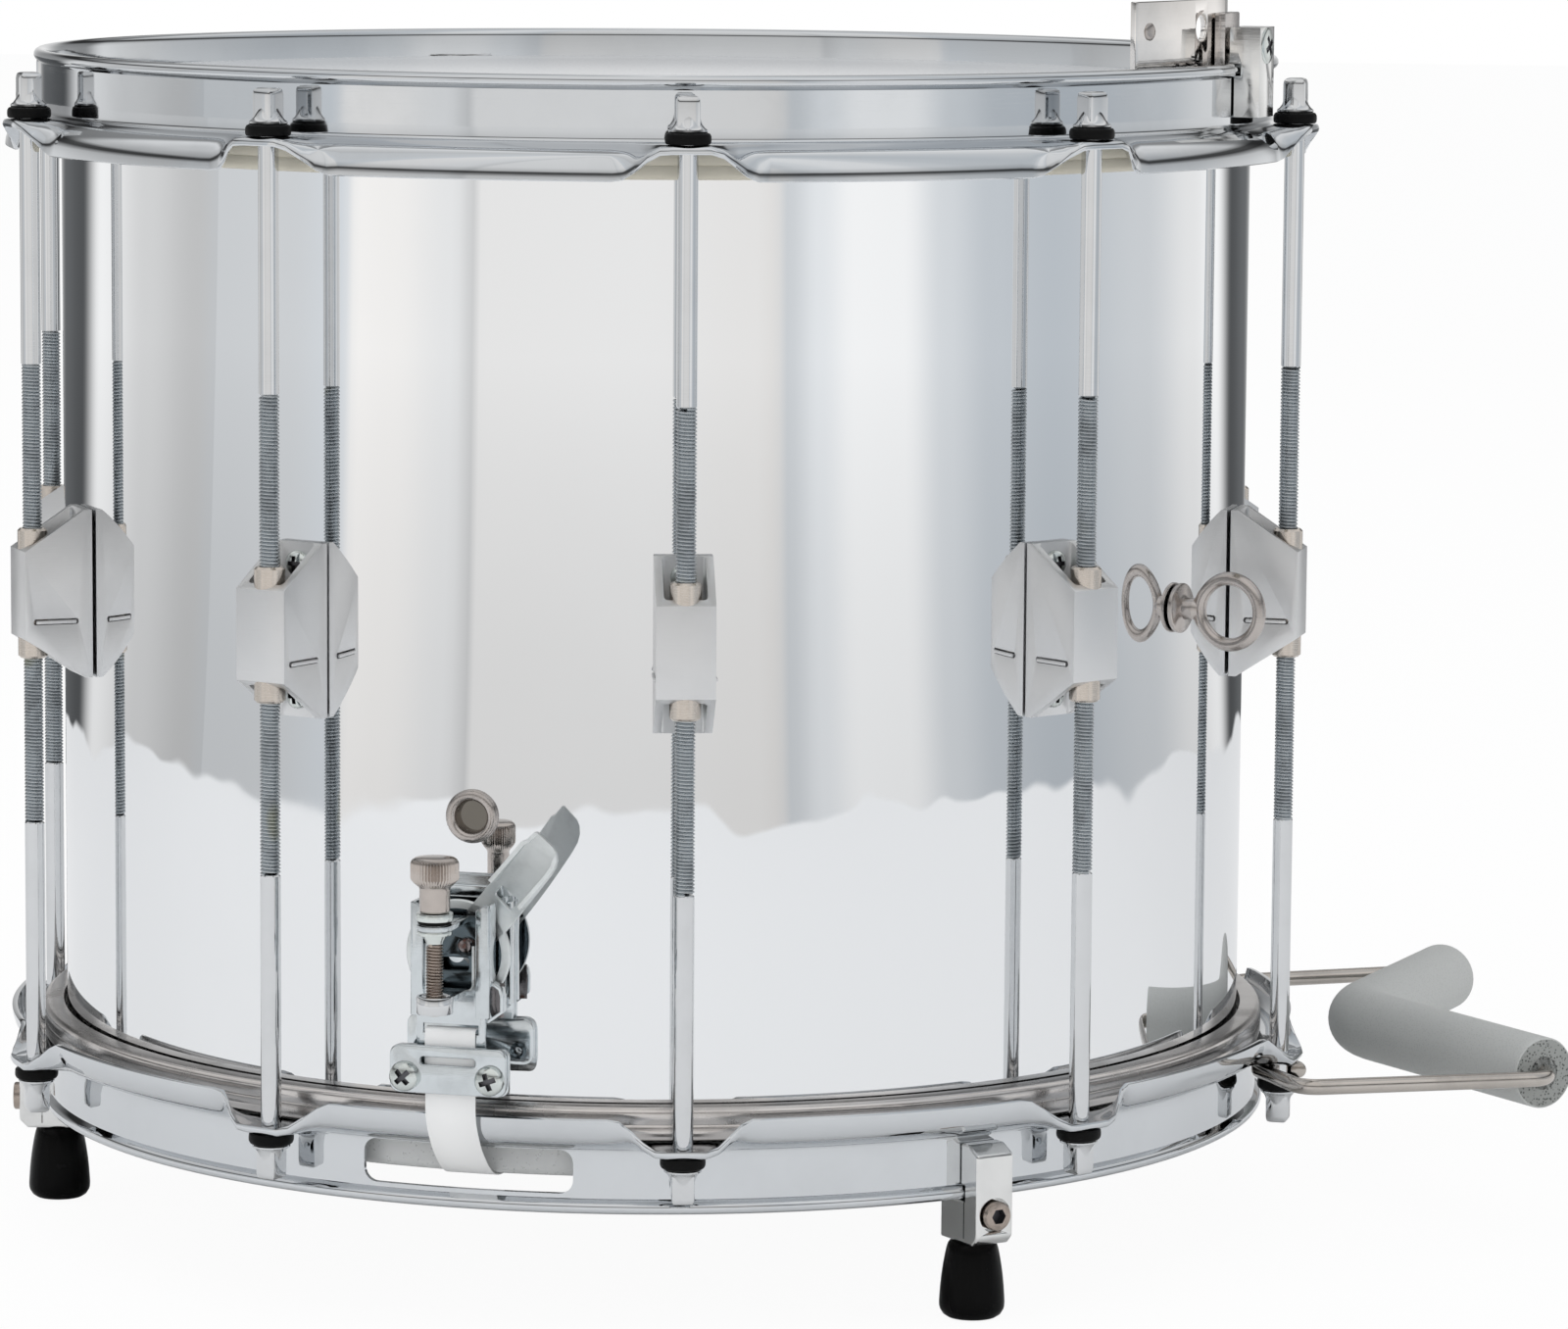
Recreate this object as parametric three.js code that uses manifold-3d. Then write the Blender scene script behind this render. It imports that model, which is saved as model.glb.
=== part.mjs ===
// A marching snare drum: steel shell, two heads held by triple-flanged hoops, ten double lugs with
// twenty tension rods, a throw-off with its butt plate, three feet, a knee rest and a carrying clamp.
// Millimetres, +Z up, origin at the centre of the batter head's playing surface.
// The strainer side of the drum faces -Y, and angles run from -Y toward +X.
import * as THREE from "three";
import { mergeVertices } from "three/addons/utils/BufferGeometryUtils.js";
import Module from "manifold-3d";

const wasm = await Module();
wasm.setup();

// Driving dimensions
const shellDiameter = 354;
const drumDepth = 297;
const shellWall = 1.5;
const headFilm = 0.5;
const fitGap = 0.3;
const cutOverrun = 3;
const roundSegments = 60;
const hoopStationShares = [-0.4, -0.275, -0.15, -0.05, 0.05, 0.15, 0.275, 0.4];
const degree = Math.PI / 180;

// Hoops
const hoopWallGap = 4.2;
const hoopSheet = 1.8;
const beadRadius = 1.8;
const beadAboveFlange = 16.6;
const batterFlangeDrop = 9.8;
const snareFlangeDrop = 9.4;
const lobeReach = 16;
const lobeEdgeDrop = 0.8;
const skirtReach = 10.5;
const skirtDrop = 9.8;
const skirtFoldShare = 0.9;
const fleshHoopWidth = 6.2;
const batterFleshHeight = 8;
const snareFleshHeight = 9.5;
const collarCrown = 2;

// Lugs and tension rods
const lugCount = 10;
const firstLugAngle = 2.5;
const rodStandOff = 16;
const rodDiameter = 5.8;
const rodEngagement = 20;
const rodHoleDiameter = 7.2;
const washerDiameter = 12.7;
const washerThickness = 3.2;
const collarDiameter = 10.8;
const collarHeight = 1.4;
const keyHeadSide = 6.4;
const keyHeadHeight = 8.6;
const lugCentreLift = 1.1;
const lugBaseHeight = 49;
const lugFaceHeight = 25.6;
const lugWidth = 16.4;
const lugDepth = 20;
const lugWall = 2.2;
const lugSlotHeight = 2;
const lugSlotDrop = 7.7;
const insertDiameter = 8.7;
const insertLength = 37.9;

// Shell fittings
const strainerAngle = -16.46;
const ventRise = 100.3;
const ventBore = 8.5;
const ventBarrel = 10.6;
const ventFlange = 15;
const ventSheet = 1.1;
const eyeAngle = 58.1;
const eyeLift = 0.4;
const eyeWire = 3.9;
const eyeLoop = 23;
const eyeStem = 4.7;
const eyeBase = 14.4;
const eyeBaseThickness = 2;
const eyeReach = 28;

// Strainer
const sheet = 1.5;
const sideSheet = 1.2;
const seatGap = 0.4;
const pivotRise = 64;
const frameWidth = 23;
const frameLip = 4;
const frameTopRise = 14.9;
const frameFall = 16.5;
const frameReach = 20.1;
const strainerPlateWidth = 25;
const strainerPlateFall = 20.1;
const earWidth = 36.8;
const earHeight = 12.4;
const earHoleDiameter = 4.6;
const earHoleSpacing = 28.2;
const earHoleShare = 0.68;
const discDiameter = 30;
const discSeat = 12.9;
const pivotBossDiameter = 8;
const pivotPinDiameter = 4.8;
const leverLength = 53.4;
const leverRest = 49;
const leverThrow = 80;
const leverWidth = 12;
const leverTipWidth = 9.2;
const leverTipLength = 10.8;
const leverTipRound = 2.8;
const leverFlangeHeight = 4.2;
const leverFlangeStart = 24.5;
const leverSlotLength = 4.2;
const leverSlotStart = 19.8;
const camTravel = 6;
const camPinDiameter = 3;
const slideSeat = 15.1;
const slideHeight = 18.3;
const slideTabRise = 11.3;
const screwStandOff = 33;
const slideTabWidth = 12.4;
const carriageSeat = 17.1;
const carriageTopFall = 7.9;
const carriageNeckHeight = 28.3;
const carriageFootHeight = 13.4;
const carriageTabFall = 12.3;
const carriageTabWidth = 9;
const carriageBossHeight = 4.9;
const clampWidth = 33.5;
const clampHeight = 13.4;
const clampSheet = 1.8;
const clampSlotHeight = 2.2;
const clampSlotMargin = 3.1;
const strapWidth = 14.5;
const strapThickness = 0.6;
const strapSlotHeight = 2.5;
const strapSlotFall = 9.9;
// Bends of the strap under the skirt, as shares of the skirt's reach and drop
const strapBendShares = [
  [0, 0.55],
  [0.28, 0.98],
  [0.62, 1.34],
  [1, 1.68],
];

// Strainer knob and its screw
const knobRise = 18.7;
const knobDiameter = 13.3;
const knobHeight = 7.6;
const knobNeckDiameter = 8.4;
const screwWasherDiameter = 12.4;
const screwWasherThickness = 2;
const screwCollarDiameter = 11.2;
const screwCollarThickness = 2.6;
const screwShankDiameter = 5.2;
const screwNeckDiameter = 6.4;
const screwNeckLength = 3.4;
const screwThreadDiameter = 4.6;
const screwReach = 25.2;
const screwHoleGap = 1.2;

// Snare strands and gates
const gateWidth = 61;
const gateHeight = 12.4;
const gateCorner = 4;
const gateDrop = 10;
const strandCount = 12;
const strandDiameter = 1.5;
const strandPitch = 3.2;
const strandPlateWidth = 44;
const strandPlateLength = 13;
const strandPlateSheet = 0.8;
const strandMargin = 12;

// Butt plate
const buttTopRise = 61;
const buttWebHeight = 22;

// Feet and their clamps
const footAngles = [30, -90, 150];
const footHeight = 22;
const footDiameter = 18.5;
const footTopDiameter = 14.7;
const footBottomDiameter = 16.6;
const footBulgeShare = 0.16;
const legClampWidth = 10;
const legClampRise = 7;
const legClampFall = 21.5;
const legClampReach = 15;
const legClampInset = 4;
const legClampChamfer = 2.5;
const legClampBeadRoom = 0.5;
const footInset = 2;

// Carrying clamp and plate at the batter hoop
const carryAngle = 66.5;
const carryWidth = 13;
const carryReach = 14;
const carryTop = 19;
const carryFoot = 6.8;
const carryJawGap = 0.7;
const carryJaw = 3.3;
const carryJawTop = 23;
const carryJawBottom = 1.5;
const carryScrewHeight = 13.6;
const carryScrewDiameter = 5;
const carryPlateSheet = 2;
const carryPlateStart = 49.5;
const carryPlateBottom = 6;
const carryPlateTop = 27;
const carryHoleAngle = 61.6;
const carryHoleHeight = 18.8;
const carryHoleDiameter = 7.5;
const carryPlateSteps = 7;

// Knee rest
const kneeWireDiameter = 4.7;
const kneeFoamDiameter = 21.2;
const kneeFoamBore = 11;
const kneeFoamFront = 9;
const kneeFoamBack = 13;
const kneeFrontLug = 2;
const kneeCutAngle = 10;
const kneeBend = 7;
const kneeApexBend = 25;
// Plan corners of the wire as shares of the shell's radius toward +X and +Y
const kneeCornerShares = [
  [1.075, -0.448],
  [1.518, -0.36],
  [1.237, 0.16],
  [1.462, 0.656],
  [1.0565, 0.538],
];

const shellRadius = shellDiameter / 2;
const shellBack = shellRadius + seatGap;
const hoopInner = shellRadius + hoopWallGap;
const hoopOuter = hoopInner + hoopSheet;
const beadCentre = hoopInner + beadRadius + hoopSheet / 10;
const rodCircle = shellRadius + rodStandOff;
const lugStep = 360 / lugCount;
const strandSpan = shellDiameter - 2 * strandMargin;
const kneeHookRadius = (rodDiameter + kneeWireDiameter) / 2 + 2 * fitGap;

// Levels under the batter head's playing surface
const lugCentreDrop = drumDepth / 2 - lugCentreLift;
const eyeDrop = lugCentreDrop - eyeLift;
const ventDrop = drumDepth - ventRise;
const pivotDrop = drumDepth - pivotRise;
const frameTopDrop = pivotDrop - frameTopRise;
const frameBottomDrop = pivotDrop + frameFall;
const strainerPlateBottom = pivotDrop + strainerPlateFall;
const slideTabDrop = pivotDrop - slideTabRise;
const knobTopDrop = slideTabDrop - knobRise;
const screwEndDrop = slideTabDrop + screwReach;
const carriageTopDrop = slideTabDrop + carriageTopFall;
const carriageTabDrop = carriageTopDrop + carriageTabFall;
const strapSlotDrop = carriageTabDrop + strapSlotFall;
const carriageNeckBottom = carriageTopDrop + carriageNeckHeight;
const carriageFootBottom = carriageNeckBottom + carriageFootHeight;
const buttTopDrop = drumDepth - buttTopRise;
const legClampTop = drumDepth - legClampRise;
const legClampBottom = drumDepth + legClampFall;

// The lever's pin, from the lever's own throw
const camSide = camTravel / 2 / Math.tan((leverThrow / 2) * degree);
const camRadius = camTravel / 2 / Math.sin((leverThrow / 2) * degree);

// Materials
function finish(colour, metalness, roughness) {
  return new THREE.MeshStandardMaterial({ color: colour, metalness, roughness });
}
const finishes = {
  chromeShell: finish(0xd8dadc, 1, 0.08),
  chromeHoop: finish(0xd2d6da, 1, 0.1),
  chromeRod: finish(0xc9ccce, 1, 0.15),
  satinLug: finish(0xc4c8cc, 0.9, 0.35),
  creamHoop: finish(0xd9d2c2, 0.1, 0.5),
  satinHoop: finish(0xb5ada4, 0.9, 0.4),
  film: finish(0xe6e6e2, 0, 0.4),
  zinc: finish(0xb4bfc6, 0.9, 0.35),
  nickel: finish(0xa39a90, 0.9, 0.35),
  stainless: finish(0xc8c0b8, 1, 0.25),
  cast: finish(0xb9b8b6, 0.9, 0.3),
  rubber: finish(0x1c1c1d, 0, 0.7),
  strap: finish(0xeeeeec, 0, 0.5),
  strands: finish(0xa8abad, 1, 0.3),
  foam: finish(0x9b9f9d, 0, 0.9),
  wire: finish(0xa29a92, 1, 0.35),
};

// Joining and cutting
function solidOf(geometry) {
  const bare = geometry.clone();
  bare.deleteAttribute("normal");
  bare.deleteAttribute("uv");
  const merged = mergeVertices(bare);
  return new wasm.Manifold(
    new wasm.Mesh({
      numProp: 3,
      vertProperties: merged.attributes.position.array,
      triVerts: new Uint32Array(merged.index.array),
    }),
  );
}

function geometryOf(solid) {
  const mesh = solid.getMesh();
  const geometry = new THREE.BufferGeometry();
  geometry.setAttribute("position", new THREE.BufferAttribute(mesh.vertProperties, 3));
  geometry.setIndex(new THREE.BufferAttribute(mesh.triVerts, 1));
  geometry.computeVertexNormals();
  return geometry;
}

function joined(...geometries) {
  return geometryOf(geometries.map(solidOf).reduce((whole, piece) => whole.add(piece)));
}

function cut(geometry, ...tools) {
  return geometryOf(tools.map(solidOf).reduce((whole, tool) => whole.subtract(tool), solidOf(geometry)));
}

// Shapes. In a station x points outward from the drum's axis, y to the right as seen from outside, z up.
function block(x0, x1, y0, y1, z0, z1) {
  const box = new THREE.BoxGeometry(x1 - x0, y1 - y0, z1 - z0);
  return box.translate((x0 + x1) / 2, (y0 + y1) / 2, (z0 + z1) / 2);
}

function centredBlock(x0, x1, width, z0, z1) {
  return block(x0, x1, -width / 2, width / 2, z0, z1);
}

function turned(profile, segments) {
  const points = profile.map(([radius, height]) => new THREE.Vector2(radius, height));
  return new THREE.LatheGeometry(points, segments).rotateX(Math.PI / 2);
}

function upright(radius, z0, z1, sides) {
  const rod = new THREE.CylinderGeometry(radius, radius, z1 - z0, sides).rotateX(Math.PI / 2);
  return rod.translate(0, 0, (z0 + z1) / 2);
}

function radial(radius, x0, x1, sides) {
  const pin = new THREE.CylinderGeometry(radius, radius, x1 - x0, sides).rotateZ(-Math.PI / 2);
  return pin.translate((x0 + x1) / 2, 0, 0);
}

function sideProfile(points, y0, y1) {
  const shape = new THREE.Shape(points.map(([x, z]) => new THREE.Vector2(x, z)));
  const prism = new THREE.ExtrudeGeometry(shape, { depth: y1 - y0, bevelEnabled: false });
  return prism.rotateX(Math.PI / 2).translate(0, y1, 0);
}

function frontProfile(points, x0, x1) {
  const shape = new THREE.Shape(points.map(([y, z]) => new THREE.Vector2(y, z)));
  const prism = new THREE.ExtrudeGeometry(shape, { depth: x1 - x0, bevelEnabled: false });
  return prism.rotateX(Math.PI / 2).rotateZ(Math.PI / 2).translate(x0, 0, 0);
}

// Placing
const drum = new THREE.Group();
const snareSide = new THREE.Group();
snareSide.position.z = -drumDepth;
snareSide.scale.z = -1;
drum.add(snareSide);

function station(angle, parent = drum) {
  const group = new THREE.Group();
  group.rotation.z = (angle - 90) * degree;
  parent.add(group);
  return group;
}

function place(parent, name, geometry, material) {
  const mesh = new THREE.Mesh(geometry, material);
  mesh.name = name;
  parent.add(mesh);
  return mesh;
}

function lugAngle(index) {
  return firstLugAngle + lugStep * index;
}

function numbered(name, index) {
  return name + "_" + String(index + 1).padStart(2, "0");
}

// Steel shell with its edges turned in and a hole for the vent
function shell() {
  const inner = shellRadius - shellWall;
  const turn = 2 * shellWall;
  const top = -headFilm - fitGap;
  const bottom = -drumDepth - top;
  const tube = turned(
    [
      [inner, bottom + turn],
      [inner - turn / 2, bottom],
      [shellRadius, bottom + turn],
      [shellRadius, top - turn],
      [inner - turn / 2, top],
      [inner, top - turn],
      [inner, bottom + turn],
    ],
    roundSegments,
  );
  const hole = radial(ventBarrel / 2 + fitGap, inner - cutOverrun * 2, shellRadius + cutOverrun, 12)
    .translate(0, 0, -ventDrop)
    .rotateZ((strainerAngle - 90) * degree);
  place(drum, "shell", cut(tube, hole), finishes.chromeShell);
}

// A head: film over the bearing edge, with a collar down into its flesh hoop
function head(parent, name, flangeDrop, fleshHeight) {
  const inside = shellRadius + fitGap;
  const outside = inside + headFilm;
  const hem = -flangeDrop - hoopSheet - fleshHeight / 2;
  const film = turned(
    [
      [0, -headFilm],
      [inside, -headFilm],
      [inside, hem],
      [outside, hem],
      [outside, -collarCrown],
      [outside - collarCrown / 2, 0],
      [0, 0],
    ],
    roundSegments,
  );
  place(parent, name, film, finishes.film);
}

// The ring that the head's collar is set in, with rounded corners
function fleshHoop(parent, name, flangeDrop, height, material) {
  const inside = shellRadius + headFilm + 2 * fitGap;
  const outside = inside + fleshHoopWidth;
  const top = -flangeDrop - hoopSheet - fitGap;
  const corner = fleshHoopWidth / 5;
  const ring = turned(
    [
      [inside, top - height],
      [outside, top - height],
      [outside, top - corner],
      [outside - corner, top],
      [inside, top],
      [inside, top - height],
    ],
    roundSegments,
  );
  place(parent, name, ring, material);
}

// Section of a hoop, from the flange's underside round its rim and up over the rolled bead.
// lobe is 1 at a lug, where the flange runs out flat, and 0 between lugs, where it turns down.
function hoopSection(lobe) {
  const reachShares = [0.5, 0.88, 1];
  const dropShares = [0.1, 0.48, 1];
  const flatShares = [0.3, 0.85, 1];
  const last = reachShares.length - 1;
  const rim = reachShares.map((share, index) => {
    const skirt = [hoopOuter + skirtReach * share, -skirtDrop * dropShares[index]];
    const flat = [hoopOuter + lobeReach * flatShares[index], index === last ? -lobeEdgeDrop : 0];
    return [
      flat[0] * lobe + skirt[0] * (1 - lobe),
      flat[1] * lobe + skirt[1] * (1 - lobe),
    ];
  });
  const under = rim.map(([radius, height], index) => {
    const fold = (1 - lobe) * dropShares[index];
    const drop = hoopSheet * (1 - skirtFoldShare * fold);
    return [radius - hoopSheet * fold, height - drop * (index === last ? lobe : 1)];
  });
  const beadAngles = [-30, 45, 130];
  const bead = beadAngles.map((angle) => [
    beadCentre + beadRadius * Math.cos(angle * degree),
    beadAboveFlange + beadRadius * Math.sin(angle * degree),
  ]);
  return [
    [hoopInner, -hoopSheet],
    ...under,
    ...rim.reverse(),
    [hoopOuter, 0],
    [hoopOuter, beadAboveFlange - beadRadius],
    ...bead,
    [hoopInner, -hoopSheet],
  ];
}

// How far the flange has run out flat at an angle: flat across a lug's seat, then sloping away
function lobeAt(angle) {
  const flatHalf = lugStep / 20;
  const slope = lugStep / 9;
  const fromLug = Math.abs(((angle - firstLugAngle + lugStep * 20.5) % lugStep) - lugStep / 2);
  const share = 1 - Math.min(Math.max((fromLug - flatHalf) / slope, 0), 1);
  return share * share * (3 - 2 * share);
}

// Pressed steel hoop: a lathe grid whose sections follow the lobes
function hoopBlank() {
  const count = hoopSection(0).length;
  const stations = hoopStationShares.length;
  const rings = stations * lugCount;
  const grid = turned(hoopSection(0), rings);
  const position = grid.getAttribute("position");
  for (let ring = 0; ring <= rings; ring++) {
    const lug = Math.floor((ring % rings) / stations);
    const angle = lugAngle(lug + hoopStationShares[ring % stations]);
    hoopSection(lobeAt(angle)).forEach(([radius, height], index) => {
      const east = radius * Math.sin(angle * degree);
      const north = -radius * Math.cos(angle * degree);
      position.setXYZ(ring * count + index, east, north, height);
    });
  }
  return grid;
}

function rodHoles() {
  return Array.from({ length: lugCount }, (_, index) =>
    upright(rodHoleDiameter / 2, -hoopSheet - cutOverrun, cutOverrun, 6)
      .translate(rodCircle, 0, 0)
      .rotateZ((lugAngle(index) - 90) * degree),
  );
}

// Window in the snare hoop's wall for the strap, at the throw-off and at the butt plate
function gate(angle) {
  const half = gateWidth / 2;
  const top = gateDrop - snareFlangeDrop;
  const outline = [
    [-half + gateCorner, top],
    [half - gateCorner, top],
    [half, top + gateCorner],
    [half, top + gateHeight - gateCorner],
    [half - gateCorner, top + gateHeight],
    [-half + gateCorner, top + gateHeight],
    [-half, top + gateHeight - gateCorner],
    [-half, top + gateCorner],
  ];
  const window = frontProfile(outline, hoopInner - hoopWallGap * 2, hoopOuter + hoopWallGap);
  return window.rotateZ((angle - 90) * degree);
}

function hoops() {
  const top = cut(hoopBlank(), ...rodHoles());
  place(drum, "top_hoop", top, finishes.chromeHoop).position.z = -batterFlangeDrop;
  const bottom = cut(hoopBlank(), ...rodHoles(), gate(strainerAngle), gate(strainerAngle + 180));
  place(snareSide, "bottom_hoop", bottom, finishes.chromeHoop).position.z = -snareFlangeDrop;
}

// A lug: pressed channel with slanted ends, a crimp slot in each side wall and a threaded insert
function lugGeometry() {
  const face = shellBack + lugDepth;
  const body = sideProfile(
    [
      [shellBack, -lugBaseHeight / 2],
      [shellBack + lugWall, -lugBaseHeight / 2],
      [face, -lugFaceHeight / 2],
      [face, lugFaceHeight / 2],
      [shellBack + lugWall, lugBaseHeight / 2],
      [shellBack, lugBaseHeight / 2],
    ],
    -lugWidth / 2,
    lugWidth / 2,
  );
  const channel = centredBlock(
    shellBack + lugWall,
    face - lugWall,
    lugWidth - 2 * lugWall,
    -lugBaseHeight,
    lugBaseHeight,
  );
  const slot = centredBlock(
    shellBack + 2 * lugWall,
    face - lugWall,
    lugWidth + cutOverrun,
    -lugSlotDrop - lugSlotHeight / 2,
    -lugSlotDrop + lugSlotHeight / 2,
  );
  const insert = upright(insertDiameter / 2, -insertLength / 2, insertLength / 2, 6).translate(rodCircle, 0, 0);
  const bore = upright(rodHoleDiameter / 2, -lugBaseHeight, lugBaseHeight, 6).translate(rodCircle, 0, 0);
  return cut(joined(cut(body, channel, slot), insert), bore);
}

// A tension rod with its rubber washer, from the thread's end up to the square key head
function rodGeometry(flangeDrop, packing) {
  const radius = rodDiameter / 2;
  const end = -lugCentreDrop + rodEngagement / 4;
  const seat = -flangeDrop + fitGap / 2 + packing;
  const collar = seat + washerThickness;
  const head = collar + collarHeight;
  const stem = turned(
    [
      [0, end],
      [radius, end],
      [radius, seat],
      [washerDiameter / 2, seat],
      [washerDiameter / 2, collar],
      [collarDiameter / 2, collar],
      [keyHeadSide / 2, head],
      [0, head],
    ],
    8,
  );
  const half = keyHeadSide / 2;
  const dome = keyHeadSide / 6;
  const square = sideProfile(
    [
      [-half, collar],
      [half, collar],
      [half, head + keyHeadHeight - dome],
      [half - dome, head + keyHeadHeight],
      [-half + dome, head + keyHeadHeight],
      [-half, head + keyHeadHeight - dome],
    ],
    -half,
    half,
  );
  return joined(stem, square).translate(rodCircle, 0, 0);
}

function lugsAndRods() {
  const lug = lugGeometry();
  const topRod = rodGeometry(batterFlangeDrop, 0);
  const bottomRod = rodGeometry(snareFlangeDrop, 0);
  const kneeRod = rodGeometry(snareFlangeDrop, kneeWireDiameter + fitGap);
  for (let index = 0; index < lugCount; index++) {
    const angle = lugAngle(index);
    const seat = station(angle);
    place(seat, numbered("lug", index), lug, finishes.satinLug).position.z = -lugCentreDrop;
    place(seat, numbered("top_rod", index), topRod, finishes.chromeRod);
    const lower = index === kneeFrontLug || index === kneeFrontLug + 1 ? kneeRod : bottomRod;
    place(station(angle, snareSide), numbered("bottom_rod", index), lower, finishes.chromeRod);
  }
}

// Vent eyelet, rolled over outside and inside the shell
function ventEyelet() {
  const inner = shellRadius - shellWall;
  const rolled = ventFlange / 2 - ventSheet / 2;
  const inside = inner - fitGap - ventSheet / 2;
  const outside = shellRadius + fitGap;
  const eyelet = turned(
    [
      [ventBore / 2, inside - ventSheet],
      [rolled, inside - ventSheet],
      [rolled, inside],
      [ventBarrel / 2, inside],
      [ventBarrel / 2, outside],
      [ventFlange / 2, outside],
      [ventFlange / 2, outside + ventSheet / 2],
      [ventBarrel / 2, outside + 2 * ventSheet],
      [ventBore / 2, outside + ventSheet],
      [ventBore / 2, inside - ventSheet],
    ],
    12,
  ).rotateY(Math.PI / 2);
  place(station(strainerAngle), "vent_eyelet", eyelet, finishes.nickel).position.z = -ventDrop;
}

// Screw eye for the sling: a drop-shaped loop of wire on a round base
function eyeRing() {
  const ringRadius = (eyeLoop - eyeWire) / 2;
  const centre = shellBack + eyeReach - eyeLoop / 2;
  const loop = new THREE.TorusGeometry(ringRadius, eyeWire / 2, 6, 14).rotateX(Math.PI / 2);
  const stem = radial(eyeStem / 2, shellBack + eyeBaseThickness / 2, centre - ringRadius, 8);
  const base = radial(eyeBase / 2, shellBack, shellBack + eyeBaseThickness, 12);
  const eye = joined(loop.translate(centre, 0, 0), stem, base);
  place(station(eyeAngle), "eye_ring", eye, finishes.nickel).position.z = -eyeDrop;
}

// Throw-off frame: back plate with ears, side walls, front lips and the pivot for the lever
function throwOffBase(parent) {
  const front = shellBack + frameReach;
  const half = frameWidth / 2;
  const plate = centredBlock(
    shellBack,
    shellBack + sheet,
    strainerPlateWidth,
    -strainerPlateBottom,
    -frameTopDrop,
  );
  const ears = centredBlock(
    shellBack,
    shellBack + sheet,
    earWidth,
    -strainerPlateBottom - earHeight,
    -strainerPlateBottom + sheet,
  );
  const pieces = [ears];
  for (const side of [-1, 1]) {
    const wall = [side * half, side * (half - sideSheet)].sort((a, b) => a - b);
    const lip = [side * half, side * (half - frameLip)].sort((a, b) => a - b);
    pieces.push(block(shellBack, front, ...wall, -frameBottomDrop, -frameTopDrop));
    pieces.push(block(front - sideSheet, front, ...lip, -frameBottomDrop, -frameTopDrop - sheet));
  }
  const disc = shellBack + discSeat - seatGap;
  const boss = radial(pivotBossDiameter / 2, shellBack, disc - sheet - seatGap, 10).translate(0, 0, -pivotDrop);
  const pin = radial(pivotPinDiameter / 2, shellBack, disc, 10).translate(0, 0, -pivotDrop);
  const swing = discDiameter / 2 - cutOverrun;
  const slotBack = disc - sheet - 2 * seatGap;
  const slotFront = disc + 2 * seatGap;
  const discSlot = block(slotBack, slotFront, -frameWidth, 0, -pivotDrop - swing, -pivotDrop + swing);
  const leverSlot = block(
    slotBack,
    slotFront,
    pivotBossDiameter,
    frameWidth,
    -frameBottomDrop + sheet,
    -frameTopDrop + cutOverrun,
  );
  const rivets = [-1, 1].map((side) =>
    radial(earHoleDiameter / 2, shellBack - cutOverrun, shellBack + cutOverrun, 8).translate(
      0,
      (side * earHoleSpacing) / 2,
      -strainerPlateBottom - earHeight * earHoleShare,
    ),
  );
  const frame = joined(cut(joined(plate, ...pieces), discSlot, leverSlot, ...rivets), boss, pin);
  place(parent, "throw_off_base", frame, finishes.zinc);
}

// Lever: a disc on the pivot with an eccentric pin, and a pressed channel arm
function throwOffLever(parent) {
  const back = shellBack + discSeat - sheet - seatGap;
  const front = back + sheet;
  const half = leverWidth / 2;
  const tipHalf = leverTipWidth / 2;
  const neck = leverLength - leverTipLength;
  const shoulder = neck - leverTipLength / 3;
  const roundShare = 1 - Math.SQRT1_2;
  const arm = frontProfile(
    [
      [0, -half],
      [shoulder, -half],
      [neck, -tipHalf],
      [leverLength - leverTipRound, -tipHalf],
      [leverLength - leverTipRound * roundShare, leverTipRound * roundShare - tipHalf],
      [leverLength, leverTipRound - tipHalf],
      [leverLength, tipHalf],
      [neck, tipHalf],
      [shoulder, half],
      [0, half],
    ],
    back,
    front,
  );
  const flanges = [-1, 1].map((side) => {
    const end = side > 0 ? leverLength : leverLength - leverTipRound;
    const outline = [
      [leverFlangeStart, side * (half - sideSheet)],
      [leverFlangeStart, side * half],
      [shoulder, side * half],
      [neck, side * tipHalf],
      [end, side * tipHalf],
      [end, side * (tipHalf - sideSheet)],
      [neck, side * (tipHalf - sideSheet)],
      [shoulder, side * (half - sideSheet)],
    ];
    return frontProfile(side > 0 ? outline.reverse() : outline, back, back + leverFlangeHeight);
  });
  const slot = block(
    back - cutOverrun,
    front + cutOverrun,
    leverSlotStart,
    leverSlotStart + leverSlotLength,
    -half / 2,
    half / 2,
  );
  const disc = radial(discDiameter / 2, back, front, 24);
  const hole = radial(pivotPinDiameter / 2 + fitGap, back - cutOverrun, front + cutOverrun, 10);
  const swung = cut(joined(arm, ...flanges), slot).rotateX(leverRest * degree);
  const camPin = radial(camPinDiameter / 2, front - sheet / 2, shellBack + slideSeat + sheet, 8).translate(
    0,
    camSide,
    camTravel / 2,
  );
  const lever = cut(joined(swung, disc, camPin), hole);
  place(parent, "throw_off_lever", lever, finishes.zinc).position.z = -pivotDrop;
}

// A tab with a round nose about the adjusting screw
function screwTab(x0, width, z0, z1) {
  const screw = shellRadius + screwStandOff;
  return joined(centredBlock(x0, screw, width, z0, z1), upright(width / 2, z0, z1, 12).translate(screw, 0, 0));
}

function screwHole(diameter) {
  const screw = shellRadius + screwStandOff;
  return upright(diameter / 2, -screwEndDrop - cutOverrun, -knobTopDrop, 12).translate(screw, 0, 0);
}

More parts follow.
